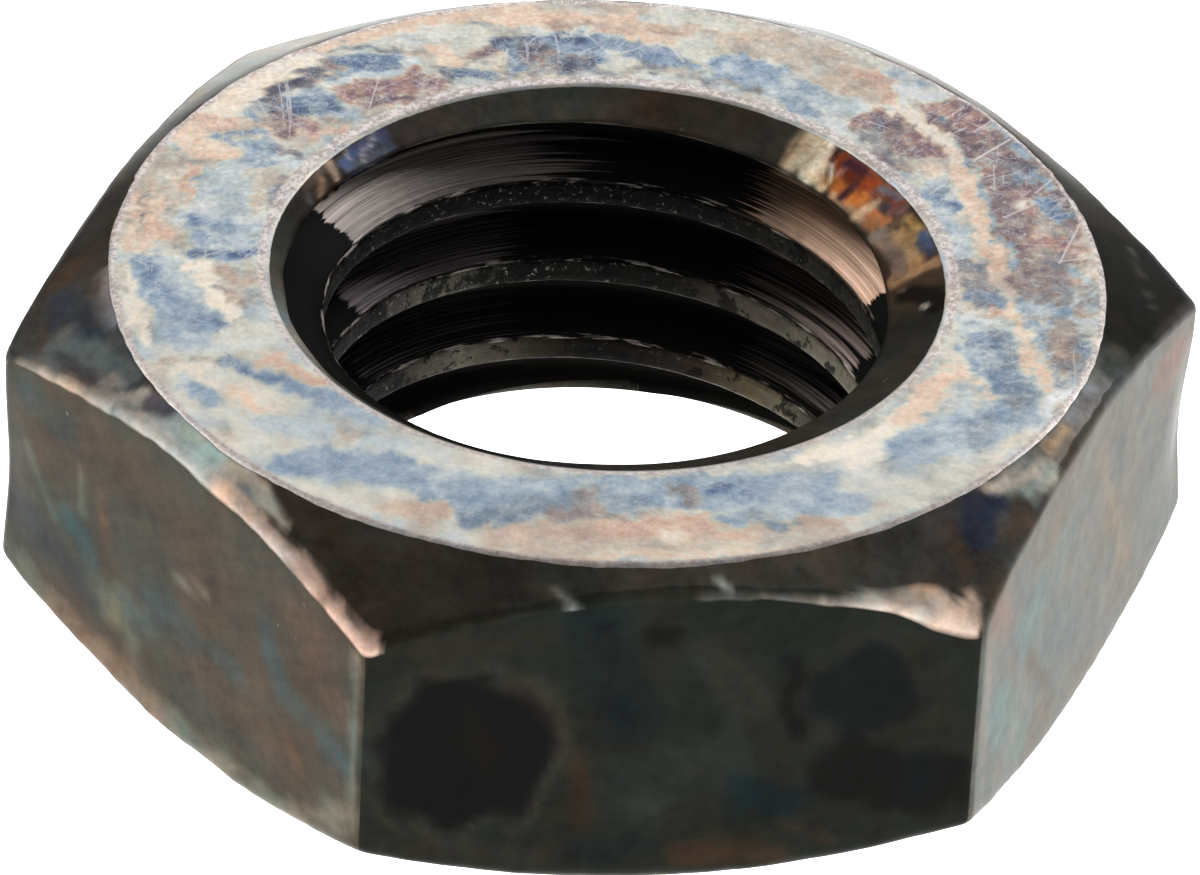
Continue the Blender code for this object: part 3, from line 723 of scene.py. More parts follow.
LEFT_MARKS = (
    (-4.6, 5.2, -2.8, 5.1, 0.32, 52, 60, 56, 0.0),
    (-2.4, 5.2, 0.8, 4.3, 0.75, 66, 55, 42, 0.0),
    (-2.4, 4.5, -2.2, 3.1, 0.16, 86, 64, 47, 0.0),
    (-4.7, 4.0, -3.8, 3.0, 0.11, 76, 78, 66, 0.0),
    (-3.0, 4.4, -2.95, 3.6, 0.10, 84, 84, 70, 0.0),
    (-5.1, 2.6, -2.6, 1.9, 0.38, 48, 49, 45, 0.0),
    (-3.3, 3.1, -2.6, 2.7, 0.30, 52, 66, 64, 0.0),
    (-2.3, 2.2, -1.0, 2.2, 0.34, 70, 78, 70, 0.0),
    (-1.9, 1.9, -1.4, 1.7, 0.26, 92, 98, 82, 0.0),
    (-0.8, 3.0, 1.6, 2.8, 0.40, 57, 62, 57, 0.0),
    (0.8, 2.2, 3.2, 1.8, 0.48, 74, 60, 46, 0.0),
    (3.4, 2.25, 3.7, 1.9, 0.16, 86, 68, 50, 0.0),
    (3.5, 5.1, 4.9, 3.9, 0.48, 74, 60, 47, 0.0),
    (2.5, 4.4, 3.2, 3.2, 0.24, 56, 67, 66, 0.0),
    (3.2, 3.2, 4.9, 2.9, 0.30, 55, 67, 66, 0.0),
    (-0.1, 3.75, 0.8, 4.0, 0.09, 104, 94, 82, 0.0),
    (-5.4, 1.45, -3.8, 1.0, 0.30, 98, 92, 78, 0.0),
    (-3.8, 1.0, 0.0, 0.55, 0.30, 106, 93, 78, 0.0),
    (0.0, 0.55, 3.4, 0.6, 0.28, 102, 98, 84, 0.0),
    (3.4, 0.65, 5.2, 1.7, 0.32, 100, 97, 84, 0.0),
    (5.2, 5.3, 5.22, 2.0, 0.12, 100, 96, 84, 0.0),
)
RIGHT_MARKS = (
    (-4.4, 2.9, -3.2, 1.6, 0.60, 88, 104, 99, 0.0),
    (-3.0, 3.9, -1.2, 4.6, 0.60, 86, 98, 92, 0.0),
    (-4.9, 5.3, -4.1, 4.8, 0.35, 112, 90, 76, 0.0),
    (-2.9, 3.1, -1.8, 1.9, 0.13, 80, 66, 44, 0.0),
    (0.4, 5.4, 2.2, 2.0, 0.24, 106, 98, 80, 0.0),
    (1.3, 5.2, 1.7, 4.4, 0.18, 76, 80, 70, 0.0),
    (3.4, 5.2, 5.0, 4.9, 0.36, 110, 88, 78, 0.0),
    (-5.1, 4.6, -4.95, 1.2, 0.10, 118, 100, 88, 0.0),
)
SINK_MARKS = (
    # beige and cream at the back right
    (4.15, 6.10, 4.00, 5.45, 0.24, 226, 206, 176, 1.0),
    (4.40, 6.05, 4.40, 5.50, 0.22, 214, 188, 156, 1.0),
    (3.75, 5.50, 3.55, 5.42, 0.10, 210, 180, 144, 1.0),
    (4.00, 6.10, 3.95, 5.60, 0.05, 246, 232, 208, 1.0),
    (4.25, 6.10, 4.25, 5.60, 0.04, 240, 220, 192, 1.0),
    (4.55, 6.10, 4.60, 5.40, 0.04, 150, 130, 104, 1.0),
    # amber
    (2.00, 5.95, 3.30, 5.90, 0.26, 110, 58, 42, 1.0),
    (1.75, 5.60, 3.10, 5.55, 0.20, 160, 100, 60, 1.0),
    (1.55, 5.90, 1.60, 5.60, 0.14, 84, 66, 52, 1.0),
    (1.75, 5.95, 1.95, 5.80, 0.14, 110, 78, 74, 1.0),
    (1.75, 5.50, 2.05, 5.50, 0.13, 150, 98, 62, 1.0),
    (2.05, 6.05, 2.55, 5.95, 0.10, 100, 102, 112, 1.0),
    (2.05, 5.85, 2.15, 5.75, 0.08, 78, 76, 98, 1.0),
    (2.30, 5.75, 2.40, 5.40, 0.12, 190, 162, 132, 1.0),
    (2.20, 5.38, 3.20, 5.38, 0.05, 180, 154, 126, 1.0),
    (2.60, 5.65, 2.80, 5.50, 0.11, 180, 110, 54, 1.0),
    (2.65, 6.00, 2.85, 5.85, 0.12, 140, 66, 34, 1.0),
    (3.00, 5.75, 3.00, 5.45, 0.08, 66, 40, 44, 1.0),
    (3.10, 6.00, 3.50, 5.95, 0.12, 60, 34, 44, 1.0),
    (3.15, 5.80, 3.35, 5.75, 0.10, 98, 44, 30, 1.0),
    (3.25, 5.58, 3.50, 5.60, 0.09, 160, 94, 44, 1.0),
    (3.60, 6.05, 3.70, 5.90, 0.08, 130, 62, 34, 1.0),
    (3.55, 5.80, 3.60, 5.75, 0.06, 130, 64, 40, 1.0),
    (3.42, 5.82, 3.44, 5.72, 0.03, 196, 156, 136, 1.0),
    (3.72, 5.82, 3.48, 5.57, 0.03, 206, 204, 196, 1.0),
    (3.84, 6.12, 3.76, 5.88, 0.03, 44, 30, 30, 1.0),
    # gold and grey at the right
    (0.05, 6.00, 0.10, 5.35, 0.22, 160, 134, 106, 1.0),
    (0.10, 5.75, 1.30, 5.65, 0.22, 160, 130, 94, 1.0),
    (0.20, 5.45, 1.60, 5.42, 0.16, 116, 102, 92, 1.0),
    (0.90, 6.00, 1.50, 5.95, 0.14, 160, 124, 76, 1.0),
    (0.70, 5.85, 1.40, 5.80, 0.10, 156, 120, 78, 1.0),
    (0.35, 6.00, 0.95, 6.00, 0.11, 68, 78, 106, 1.0),
    (0.50, 5.90, 0.80, 5.88, 0.06, 60, 64, 82, 1.0),
    (-1.10, 6.00, -0.50, 5.50, 0.22, 26, 20, 14, 0.0),
    (-1.15, 5.78, -1.06, 5.74, 0.05, 236, 230, 220, 0.6),
    (-0.32, 5.42, -0.28, 5.36, 0.04, 120, 112, 104, 0.3),
    # back left
    (12.60, 5.75, 13.70, 5.75, 0.12, 90, 98, 110, 0.8),
    (12.60, 6.02, 13.20, 5.95, 0.12, 88, 94, 122, 0.9),
    (13.30, 6.00, 13.70, 5.92, 0.13, 80, 100, 140, 0.9),
    (12.75, 6.05, 13.00, 5.90, 0.03, 196, 200, 208, 0.9),
    (13.10, 5.95, 13.30, 5.80, 0.03, 184, 190, 200, 0.9),
    (13.45, 6.08, 13.50, 5.96, 0.03, 190, 196, 206, 0.9),
    (13.95, 6.05, 14.10, 5.75, 0.12, 150, 140, 130, 0.9),
    (14.20, 6.06, 14.80, 6.04, 0.06, 120, 114, 110, 0.5),
    (14.35, 5.95, 14.70, 5.78, 0.11, 140, 122, 106, 0.6),
    (14.85, 5.98, 15.00, 5.86, 0.09, 90, 92, 96, 0.3),
    (18.95, 6.05, 18.30, 5.60, 0.14, 138, 146, 150, 0.0),
)
# The pale chamfer marks with no shine along the top edges, the spots near -85 degrees, the wedge from -81 to
# -61 degrees and the band from 186 to 240 degrees, are worn edges with a painted highlight laid into their
# colour.
CHAMFER_MARKS = (
    (42.75, 9.42, 43.2, 9.7, 0.06, 136, 124, 114, 0.0),
    (-14.25, 9.3, -14.1, 9.48, 0.06, 206, 192, 178, 0.0),
    (-14.6, 9.50, -13.5, 9.59, 0.05, 88, 80, 72, 0.0),
    (-13.5, 9.60, -12.5, 9.82, 0.05, 122, 108, 98, 0.0),
    (-12.5, 9.84, -11.5, 10.08, 0.08, 200, 176, 162, 0.0),
    (-11.7, 10.08, -10.9, 10.22, 0.16, 232, 204, 186, 0.0),
    (-11.1, 10.24, -10.5, 10.36, 0.24, 240, 212, 192, 0.0),
    (-10.7, 10.46, -10.12, 10.72, 0.24, 240, 212, 192, 0.0),
    (-10.9, 10.10, -10.5, 10.16, 0.06, 252, 206, 172, 0.0),
    (-11.4, 10.10, -10.7, 10.34, 0.03, 200, 172, 156, 0.0),
    (-9.8, 10.0, -9.6, 9.4, 0.16, 86, 74, 66, 0.1),
    (-9.2, 9.55, -8.4, 9.35, 0.28, 58, 66, 86, 0.3),
    (-8.6, 9.9, -8.0, 9.7, 0.20, 90, 76, 66, 0.1),
    (-8.3, 9.12, -7.0, 9.38, 0.20, 244, 226, 208, 0.0),
    (-7.3, 9.52, -6.8, 9.42, 0.12, 206, 212, 200, 0.0),
    (-6.5, 9.22, -5.8, 9.2, 0.12, 222, 204, 180, 0.0),
    (-5.6, 9.14, -4.4, 9.14, 0.12, 176, 184, 192, 0.0),
    (-3.6, 9.3, -2.9, 9.35, 0.18, 84, 84, 76, 0.1),
    (-1.6, 9.6, 0.6, 9.5, 0.45, 26, 26, 22, 0.0),
    (-0.9, 9.9, 0.8, 9.8, 0.05, 84, 86, 78, 0.0),
    (28.5, 9.6, 29.4, 10.2, 0.20, 80, 68, 56, 0.1),
    (29.3, 9.9, 31.0, 9.6, 0.26, 62, 68, 78, 0.15),
    (29.9, 10.3, 30.6, 10.25, 0.16, 84, 72, 60, 0.1),
    (31.4, 9.5, 32.6, 9.4, 0.18, 84, 76, 66, 0.1),
    (32.8, 9.3, 34.0, 9.25, 0.12, 72, 76, 80, 0.15),
    (30.4, 10.72, 31.1, 10.36, 0.12, 132, 126, 116, 0.0),
    (30.5, 9.95, 32.6, 9.20, 0.26, 116, 119, 114, 0.0),
    (29.2, 9.05, 30.9, 9.05, 0.12, 150, 150, 154, 0.0),
    (31.0, 10.38, 32.5, 9.84, 0.15, 186, 170, 154, 0.0),
    (32.5, 9.78, 33.1, 9.30, 0.17, 190, 174, 160, 0.0),
    (32.2, 9.45, 32.6, 9.35, 0.05, 170, 160, 150, 0.0),
    (34.1, 9.26, 36.7, 9.28, 0.28, 212, 204, 192, 0.0),
    (34.5, 9.15, 35.0, 9.12, 0.08, 222, 218, 196, 0.0),
    (35.2, 9.14, 35.7, 9.12, 0.08, 224, 224, 206, 0.0),
    (35.9, 9.10, 36.3, 9.16, 0.07, 226, 214, 190, 0.0),
    (36.4, 9.34, 36.9, 9.42, 0.07, 150, 160, 160, 0.0),
    (36.8, 9.26, 37.7, 9.55, 0.10, 200, 204, 196, 0.0),
    (33.0, 9.66, 33.8, 9.54, 0.10, 188, 172, 160, 0.0),
    (33.6, 9.52, 36.0, 9.50, 0.11, 214, 194, 180, 0.0),
    (36.0, 9.50, 37.3, 9.68, 0.12, 232, 204, 184, 0.0),
    (37.2, 9.68, 38.3, 9.98, 0.15, 220, 198, 184, 0.0),
    (38.3, 9.98, 39.3, 10.45, 0.14, 214, 188, 174, 0.0),
    (39.2, 10.45, 39.98, 10.90, 0.18, 232, 204, 190, 0.0),
    (33.45, 9.14, 33.9, 9.05, 0.13, 116, 104, 108, 0.0),
    (32.25, 9.62, 32.6, 9.42, 0.10, 166, 154, 146, 0.0),
    (30.5, 10.25, 31.2, 10.15, 0.12, 112, 112, 110, 0.0),
    (-7.7, 9.15, -7.3, 9.10, 0.10, 210, 194, 180, 0.0),
    (-7.7, 9.52, -7.4, 9.48, 0.09, 186, 196, 186, 0.0),
)


def screen_to_linear(colours):
    """Colours from 0 to 255 as they look on a screen, as linear values."""
    value = np.asarray(colours, dtype=float) / 255.0
    return np.where(value <= 0.04045, value / 12.92, ((value + 0.055) / 1.055) ** 2.4)


uneven_border = ripples(points, 0.55, 36) * 0.035 + ripples(points, 1.3, 37) * 0.10


def paint(where, across, up, marks, softness=0.09):
    """Lays colour and shine in strokes: cover is an eased step of the distance to each stroke's line."""
    spots = np.column_stack([across, up])
    for x0, y0, x1, y1, width, red, green, blue_part, gloss in marks:
        gap = line_gap(spots, x0, y0, x1, y1)
        gap += min(width, 0.4) / 0.4 * uneven_border
        ease = min(softness, width * 0.9 + 0.03)
        cover = rise(width + ease, width - ease, gap) * where
        tone[:] += (np.array([red, green, blue_part]) - tone) * cover[:, None]
        shine[:] += (gloss - shine) * cover


on_chamfer = zone == "chamfer"
on_edge = zone == "edge"
on_side = np.isin(zone, ("flat", "foot", "edge"))
in_sink = np.isin(zone, ("sink", "rim", "thread")) & (height > bore_top - 0.01)
# The scale's tones set below carry painted light and shade: dark on the front flat, pale on the right flat
# and at the bright angles of the chamfer and sink.
chamfer_tone_and_light = by_angle(CHAMFER_TONES_WITH_PAINTED_LIGHT, turned)
glare = by_angle(BACK_GLARE, turned)
tone = np.full((len(points), 3), PLAIN_SCALE)
shine = np.zeros(len(points))
tone[on_side] = np.array(FLAT_TONES_WITH_PAINTED_LIGHT, dtype=float)[which_flat[on_side]]
tone[on_chamfer] = chamfer_tone_and_light[on_chamfer]
# Painted glare: the outer part of the back chamfer is painted pale towards the glare tone where the back
# lights glance off it.
painted_glare = rise(GLARE_START, GLARE_FULL, radius) * glare * on_chamfer
tone += (np.array(GLARE_TONE) - tone) * painted_glare[:, None]
# Down the rounded edge the chamfer's colour, kept dark, gives way to the flat's, each with its painted
# light and shade.
below_cone = HEIGHT + 0.10 - (radius - FACE_RADIUS) * math.tan(TOP_CHAMFER) - height
down_edge = np.clip(below_cone / EDGE_BLEND, 0.0, 1.0)[:, None]
upper_tone = np.minimum(chamfer_tone_and_light, PALEST_EDGE)
tone[on_edge] = (upper_tone + (tone - upper_tone) * down_edge)[on_edge]
tone[in_sink] = by_angle(SINK_TONES_WITH_PAINTED_LIGHT, turned)[in_sink]
along_flat = points[:, 1] * flat_normal[:, 0] - points[:, 0] * flat_normal[:, 1]
for flat, marks_on_it in ((FRONT_FLAT, FRONT_MARKS), (LEFT_FLAT, LEFT_MARKS), (RIGHT_FLAT, RIGHT_MARKS)):
    on_it = np.isin(zone, ("flat", "foot")) & (which_flat == flat)
    paint(on_it, along_flat, height, marks_on_it, 0.24)
paint(on_chamfer | on_edge, turned / CHAMFER_STEP, radius, CHAMFER_MARKS)
paint(np.isin(zone, ("sink", "rim")), turned / SINK_STEP, radius, SINK_MARKS, 0.07)
matte = on_chamfer * (0.30 - 0.25 * glare) + (zone == "sink") * 0.10

# The thread's flanks are black, with a painted highlight of paler metal at the left and right, and its
# crests have colours of their own, with painted light and shade by angle, darkest at the back. A row
# of the flank highlights has the turn, the first and last angle, how far the highlight fades, how
# strong it is and its colour. A row of the crest tones has the turn, angle, colour and how pitted it is.
pitches = (height - groove_centre(angle)) / PITCH
groove = np.round(pitches)
crest_turn = np.floor(pitches)
on_crest = np.abs(pitches - groove) > CREST_EDGE - 0.008
threaded = zone == "thread"
FLANK_TONE = (9.0, 8.0, 8.0)
SHARP_FADE = 5.0
tone[threaded] = FLANK_TONE
FLANK_HIGHLIGHTS = (
    (3, 119, 143, 56, 0.95, 122, 114, 110), (3, 16, 36, 30, 1.0, 172, 142, 122),
    (2, 112, 140, 26, 0.70, 96, 88, 90), (2, 20, 42, 24, 0.60, 104, 92, 86),
    (1, 108, 136, 24, 0.42, 84, 80, 80), (1, 28, 46, 16, 0.50, 90, 84, 80),
)
for turn_number, low, high, fade, gloss, red, green, blue_part in FLANK_HIGHLIGHTS:
    on_left = low > 90
    low_fade, high_fade = (fade, SHARP_FADE) if on_left else (SHARP_FADE, fade)
    here = rise(low - low_fade, low, turned) * rise(high + high_fade, high, turned)
    here *= (groove == turn_number) & (pitches < groove) & ~on_crest & threaded
    shine += (gloss - shine) * here
    tone += (np.array([red, green, blue_part]) - tone) * rise(0.0, 0.15, here)[:, None]
CREST_TONES_WITH_PAINTED_LIGHT = (
    (2, -99, 21, 18, 15, 0.3), (2, 40, 38, 36, 30, 0.3), (2, 50, 21, 19, 15, 0.4),
    (2, 80, 6, 6, 6, 0.5), (2, 100, 9, 8, 7, 0.5), (2, 120, 30, 26, 24, 0.6),
    (2, 130, 12, 12, 10, 0.6), (2, 140, 34, 33, 31, 0.6), (2, 261, 18, 16, 13, 0.5),
    (1, -99, 112, 106, 92, 0.2), (1, 30, 112, 106, 92, 0.2), (1, 40, 84, 78, 66, 0.2),
    (1, 52, 70, 64, 56, 0.1), (1, 60, 44, 40, 34, 0.1), (1, 68, 14, 14, 11, 0.3),
    (1, 92, 16, 15, 12, 0.4), (1, 101, 34, 32, 26, 0.8), (1, 110, 68, 66, 58, 0.5),
    (1, 120, 92, 90, 78, 0.4), (1, 130, 70, 66, 62, 0.9), (1, 140, 58, 54, 50, 1.0),
    (1, 150, 26, 24, 20, 1.0), (1, 261, 60, 58, 54, 0.8),
    (0, -99, 60, 56, 50, 0.1), (0, 30, 60, 56, 50, 0.1), (0, 40, 96, 88, 72, 0.1),
    (0, 50, 76, 68, 50, 0.1), (0, 60, 42, 34, 28, 0.1), (0, 72, 20, 16, 12, 0.2),
    (0, 84, 10, 9, 7, 0.2), (0, 92, 32, 28, 20, 0.1), (0, 100, 59, 54, 46, 0.1),
    (0, 112, 84, 80, 70, 0.3), (0, 122, 66, 62, 54, 0.4), (0, 132, 24, 22, 18, 0.4),
    (0, 261, 40, 38, 32, 0.3),
)
# On the thread the field for lightness says how pitted the crest is.
light[threaded] = 0.3
for turn_number in (0, 1, 2):
    crest_rows = [row[1:] for row in CREST_TONES_WITH_PAINTED_LIGHT if row[0] == turn_number]
    here = threaded & on_crest & (crest_turn == turn_number)
    values = by_angle(crest_rows, turned[here])
    tone[here] = values[:, :3]
    light[here] = values[:, 3]

used, compact = np.unique(faces, return_inverse=True)
faces = compact.reshape(-1, 3)
mesh = bpy.data.meshes.new("nut_dressed")
mesh.from_pydata(points[used] * MM, [], faces)
fields = {
    "brown": brown,
    "blue": blue,
    "clear": clear,
    "light": light,
    "shine": shine,
    "rubbed": rubbed,
    "crisp": crisp,
    "matte": matte,
}
for name, field in fields.items():
    values = field[used].astype(np.float32)
    mesh.attributes.new(name, "FLOAT", "POINT").data.foreach_set("value", values)
linear_tone = screen_to_linear(np.clip(tone[used], 0.0, 255.0))
tone_values = np.column_stack([linear_tone, np.ones(len(used))]).ravel().astype(np.float32)
mesh.attributes.new("tone", "FLOAT_COLOR", "POINT").data.foreach_set("color", tone_values)
mesh.uv_layers.new(name="thread").data.foreach_set("uv", corner_map.ravel().astype(np.float32))
mesh.shade_smooth()
nut = bpy.data.objects.new("nut_dressed", mesh)
bpy.context.scene.collection.objects.link(nut)
# Faces of the thread, and those of the sinks where the groove runs out through them.
ring_zone = row_zone[np.minimum(ring_row, len(rows) - 1)]
ring_middle = points[ring_faces].mean(axis=1)
middle_angle = np.arctan2(ring_middle[:, 1], ring_middle[:, 0])
ring_gap = thread_radius(middle_angle, ring_middle[:, 2]) - np.hypot(ring_middle[:, 0], ring_middle[:, 1])
run_out = np.isin(ring_zone, ("sink", "under_sink")) & (ring_gap > -0.012)
is_thread = np.concatenate([run_out, np.ones(len(line_faces), bool)])
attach(nut, "root")
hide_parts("nut")


# Tempered scale
# Black oxide from the hardening furnace. On the faced end it has been rubbed off and the bare steel
# has taken temper colours, from straw through brown and blue to pale grey.


def seen(red, green, blue):
    """Colour as it looks on a screen, 0 to 255, turned to the linear values that Blender takes."""
    return (*screen_to_linear([red, green, blue]).tolist(), 1.0)


def add(tree, kind, settings=None, inputs=None):
    """Adds a node, sets its properties, then fills or links its inputs by name or number."""
    node = tree.nodes.new(kind)
    for name, value in (settings or {}).items():
        setattr(node, name, value)
    for name, value in (inputs or {}).items():
        if isinstance(value, bpy.types.NodeSocket):
            tree.links.new(value, node.inputs[name])
        else:
            node.inputs[name].default_value = value
    return node


def maths(tree, operation, first, second=0.5, clamp=False):
    """Math node on two values or sockets."""
    node = add(tree, "ShaderNodeMath", {"operation": operation, "use_clamp": clamp}, {0: first, 1: second})
    return node.outputs[0]


def times(tree, first, second):
    """Product of two values or sockets."""
    return maths(tree, "MULTIPLY", first, second)


def plus(tree, first, second):
    """Sum of two values or sockets."""
    return maths(tree, "ADD", first, second)


def scaled(tree, value, factor, start=0.0):
    """Value times a factor, plus a start."""
    return plus(tree, times(tree, value, factor), start)


def swing(tree, value, reach):
    """A noise's value as a swing to both sides of zero."""
    return times(tree, maths(tree, "SUBTRACT", value, 0.5), reach)


def line_at(tree, value, place, outer, inner):
    """1 within `inner` of a place, and 0 beyond `outer`."""
    return step(tree, maths(tree, "ABSOLUTE", maths(tree, "SUBTRACT", value, place)), outer, inner)


def vector_maths(tree, operation, inputs, output=0):
    """Output of a vector maths node."""
    return add(tree, "ShaderNodeVectorMath", {"operation": operation}, inputs).outputs[output]


def blend_colour(tree, amount, first, second, kind="MIX"):
    """Mix Color node."""
    settings = {"data_type": "RGBA", "blend_type": kind}
    return add(tree, "ShaderNodeMix", settings, {0: amount, 6: first, 7: second}).outputs[2]


def blend_value(tree, amount, first, second):
    """Mix node on two values or sockets."""
    return add(tree, "ShaderNodeMix", {"data_type": "FLOAT"}, {0: amount, 2: first, 3: second}).outputs[0]


def mapped(tree, vector, kind="POINT", **settings):
    """Vector through a Mapping node of a kind, with its Location, Rotation or Scale."""
    return add(tree, "ShaderNodeMapping", {"vector_type": kind}, {"Vector": vector, **settings}).outputs[0]


def ramp(tree, value, stops, smooth="LINEAR"):
    """Colour ramp with stops of (place, colour)."""
    node = add(tree, "ShaderNodeValToRGB", None, {0: value})
    node.color_ramp.interpolation = smooth
    elements = node.color_ramp.elements
    while len(elements) < len(stops):
        elements.new(0.5)
    for element, (place, colour) in zip(elements, stops):
        element.position = place
        element.color = colour
    return node.outputs[0]


def step(tree, value, low, high):
    """Map Range node, eased, from low to high onto 0 to 1."""
    inputs = {"Value": value, "From Min": low, "From Max": high}
    return add(tree, "ShaderNodeMapRange", {"interpolation_type": "SMOOTHSTEP"}, inputs).outputs["Result"]


def noise(tree, vector, scale, detail=3.0, rough=0.5):
    """Noise Texture's value at a number of grains a metre."""
    inputs = {"Vector": vector, "Scale": scale, "Detail": detail, "Roughness": rough}
    return add(tree, "ShaderNodeTexNoise", None, inputs).outputs["Fac"]


def new_group(name, inputs, outputs):
    """Shader node group with (name, socket kind, default) inputs and (name, socket kind) outputs."""
    tree = bpy.data.node_groups.new(name, "ShaderNodeTree")
    for label, kind, default in inputs:
        socket = tree.interface.new_socket(label, in_out="INPUT", socket_type=kind)
        socket.default_value = default
    for label, kind in outputs:
        tree.interface.new_socket(label, in_out="OUTPUT", socket_type=kind)
    return tree, tree.nodes.new("NodeGroupInput"), tree.nodes.new("NodeGroupOutput")


def use(tree, group, inputs):
    """Places a node group in a material."""
    return add(tree, "ShaderNodeGroup", {"node_tree": group}, inputs)


# Temper colours: bare steel goes from straw to brown in one film and from pale to deep blue in
# another, and where both lie they darken each other to purple.
temper, temper_in, temper_out = new_group(
    "Temper colours",
    [("Brown", "NodeSocketFloat", 0.1), ("Blue", "NodeSocketFloat", 0.1)],
    [("Color", "NodeSocketColor")],
)
brown_film = ramp(
    temper,
    temper_in.outputs["Brown"],
    (
        (0.00, seen(238, 235, 234)),
        (0.15, seen(244, 230, 213)),
        (0.30, seen(236, 208, 186)),
        (0.45, seen(222, 186, 166)),
        (0.60, seen(200, 158, 146)),
        (0.75, seen(172, 134, 134)),
        (0.90, seen(146, 110, 118)),
        (1.00, seen(118, 86, 102)),
    ),
)
blue_film = ramp(
    temper,
    temper_in.outputs["Blue"],
    (
        (0.00, seen(255, 255, 255)),
        (0.15, seen(234, 243, 246)),
        (0.30, seen(205, 221, 230)),
        (0.45, seen(168, 190, 212)),
        (0.60, seen(136, 162, 192)),
        (0.75, seen(108, 134, 174)),
        (0.90, seen(88, 108, 152)),
        (1.00, seen(72, 86, 130)),
    ),
)
both_films = blend_colour(temper, 1.0, brown_film, blue_film, "MULTIPLY")
temper.links.new(both_films, temper_out.inputs["Color"])

# Scratches: short straight streaks, the tops of a noise drawn out along one of several directions.
scratch, scratch_in, scratch_out = new_group(
    "Straight scratches",
    [
        ("Vector", "NodeSocketVector", (0.0, 0.0, 0.0)),
        ("Scale", "NodeSocketFloat", 900.0),
        ("Rarity", "NodeSocketFloat", 0.7),
    ],
    [("Mask", "NodeSocketFloat")],
)
scratch_mask = None
for turn_degrees, length in ((24.0, 60.0), (47.0, 90.0), (-38.0, 70.0), (83.0, 60.0)):
    moved = mapped(
        scratch,
        scratch_in.outputs["Vector"],
        "TEXTURE",
        Location=(turn_degrees * 0.001, 0.0, 0.0),
        Rotation=(0.0, 0.0, math.radians(turn_degrees)),
        Scale=(length, 1.0, 1.0),
    )
    streak = noise(scratch, moved, scratch_in.outputs["Scale"], 1.0, 0.4)
    rarer = plus(scratch, scratch_in.outputs["Rarity"], 0.03)
    thin = step(scratch, streak, scratch_in.outputs["Rarity"], rarer)
    scratch_mask = thin if scratch_mask is None else maths(scratch, "MAXIMUM", scratch_mask, thin)
scratch.links.new(scratch_mask, scratch_out.inputs["Mask"])

# One long scratch from a start along a way: the mask falls from 1 to 0 over the width.
gouge, gouge_in, gouge_out = new_group(
    "Long scratch",
    [
        ("Vector", "NodeSocketVector", (0.0, 0.0, 0.0)),
        ("Start", "NodeSocketVector", (0.0, 0.0, 0.0)),
        ("Way", "NodeSocketVector", (1.0, 0.0, 0.0)),
        ("Width", "NodeSocketFloat", 0.00004),
    ],
    [("Mask", "NodeSocketFloat")],
)
from_start = vector_maths(gouge, "SUBTRACT", {0: gouge_in.outputs["Vector"], 1: gouge_in.outputs["Start"]})
from_start = vector_maths(gouge, "MULTIPLY", {0: from_start, 1: (1.0, 1.0, 0.0)})
reach = vector_maths(gouge, "DOT_PRODUCT", {0: from_start, 1: gouge_in.outputs["Way"]}, 1)
whole = vector_maths(gouge, "DOT_PRODUCT", {0: gouge_in.outputs["Way"], 1: gouge_in.outputs["Way"]}, 1)
part_way = maths(gouge, "DIVIDE", reach, whole, clamp=True)
nearest = vector_maths(gouge, "SCALE", {0: gouge_in.outputs["Way"], "Scale": part_way})
beside = vector_maths(gouge, "DISTANCE", {0: from_start, 1: nearest}, 1)
share = maths(gouge, "DIVIDE", beside, gouge_in.outputs["Width"])
gouge.links.new(maths(gouge, "SUBTRACT", 1.0, share, clamp=True), gouge_out.inputs["Mask"])


def new_material(name):
    """Material with an empty tree but for its Principled shader and output."""
    material = bpy.data.materials.new(name)
    material.use_nodes = True
    tree = material.node_tree
    return material, tree, tree.nodes["Principled BSDF"]


def attribute(tree, name, output="Fac"):
    """Value or colour of one of the mesh's own attributes."""
    return add(tree, "ShaderNodeAttribute", {"attribute_name": name}).outputs[output]


scale_steel, tree, shader = new_material("tempered_scale")
place = add(tree, "ShaderNodeTexCoord").outputs["Object"]
brown_here = attribute(tree, "brown")
blue_here = attribute(tree, "blue")
clear_here = attribute(tree, "clear")
light_here = attribute(tree, "light")
broad = noise(tree, place, 800.0, 5.0, 0.6)
fine = noise(tree, place, 2600.0, 5.0, 0.7)
grit = noise(tree, place, 9000.0, 2.0, 0.6)
crisp_here = attribute(tree, "crisp")


def mottled(amount, first, second):
    """Stain amount shifted up and down by two noises, more where it is strong and the finish crisp."""
    crisp_reach = scaled(tree, crisp_here, 1.7, 0.35)
    both = plus(tree, swing(tree, first, 1.1), swing(tree, second, crisp_reach))
    shift = times(tree, both, plus(tree, amount, 0.05))
    return maths(tree, "ADD", amount, shift, clamp=True)


elsewhere = mapped(tree, place, Location=(0.013, 0.029, 0.017))
broad_two = noise(tree, elsewhere, 1000.0, 5.0, 0.6)
fine_two = noise(tree, elsewhere, 3000.0, 5.0, 0.7)
brown_mottled = mottled(brown_here, broad, fine_two)
blue_mottled = mottled(blue_here, broad_two, fine)
tint = use(tree, temper, {"Brown": brown_mottled, "Blue": blue_mottled}).outputs["Color"]
gritty = swing(tree, grit, scaled(tree, crisp_here, 0.5, 0.15))
lit = times(tree, light_here, plus(tree, gritty, 1.0))
tint = blend_colour(tree, 1.0, tint, lit, "MULTIPLY")

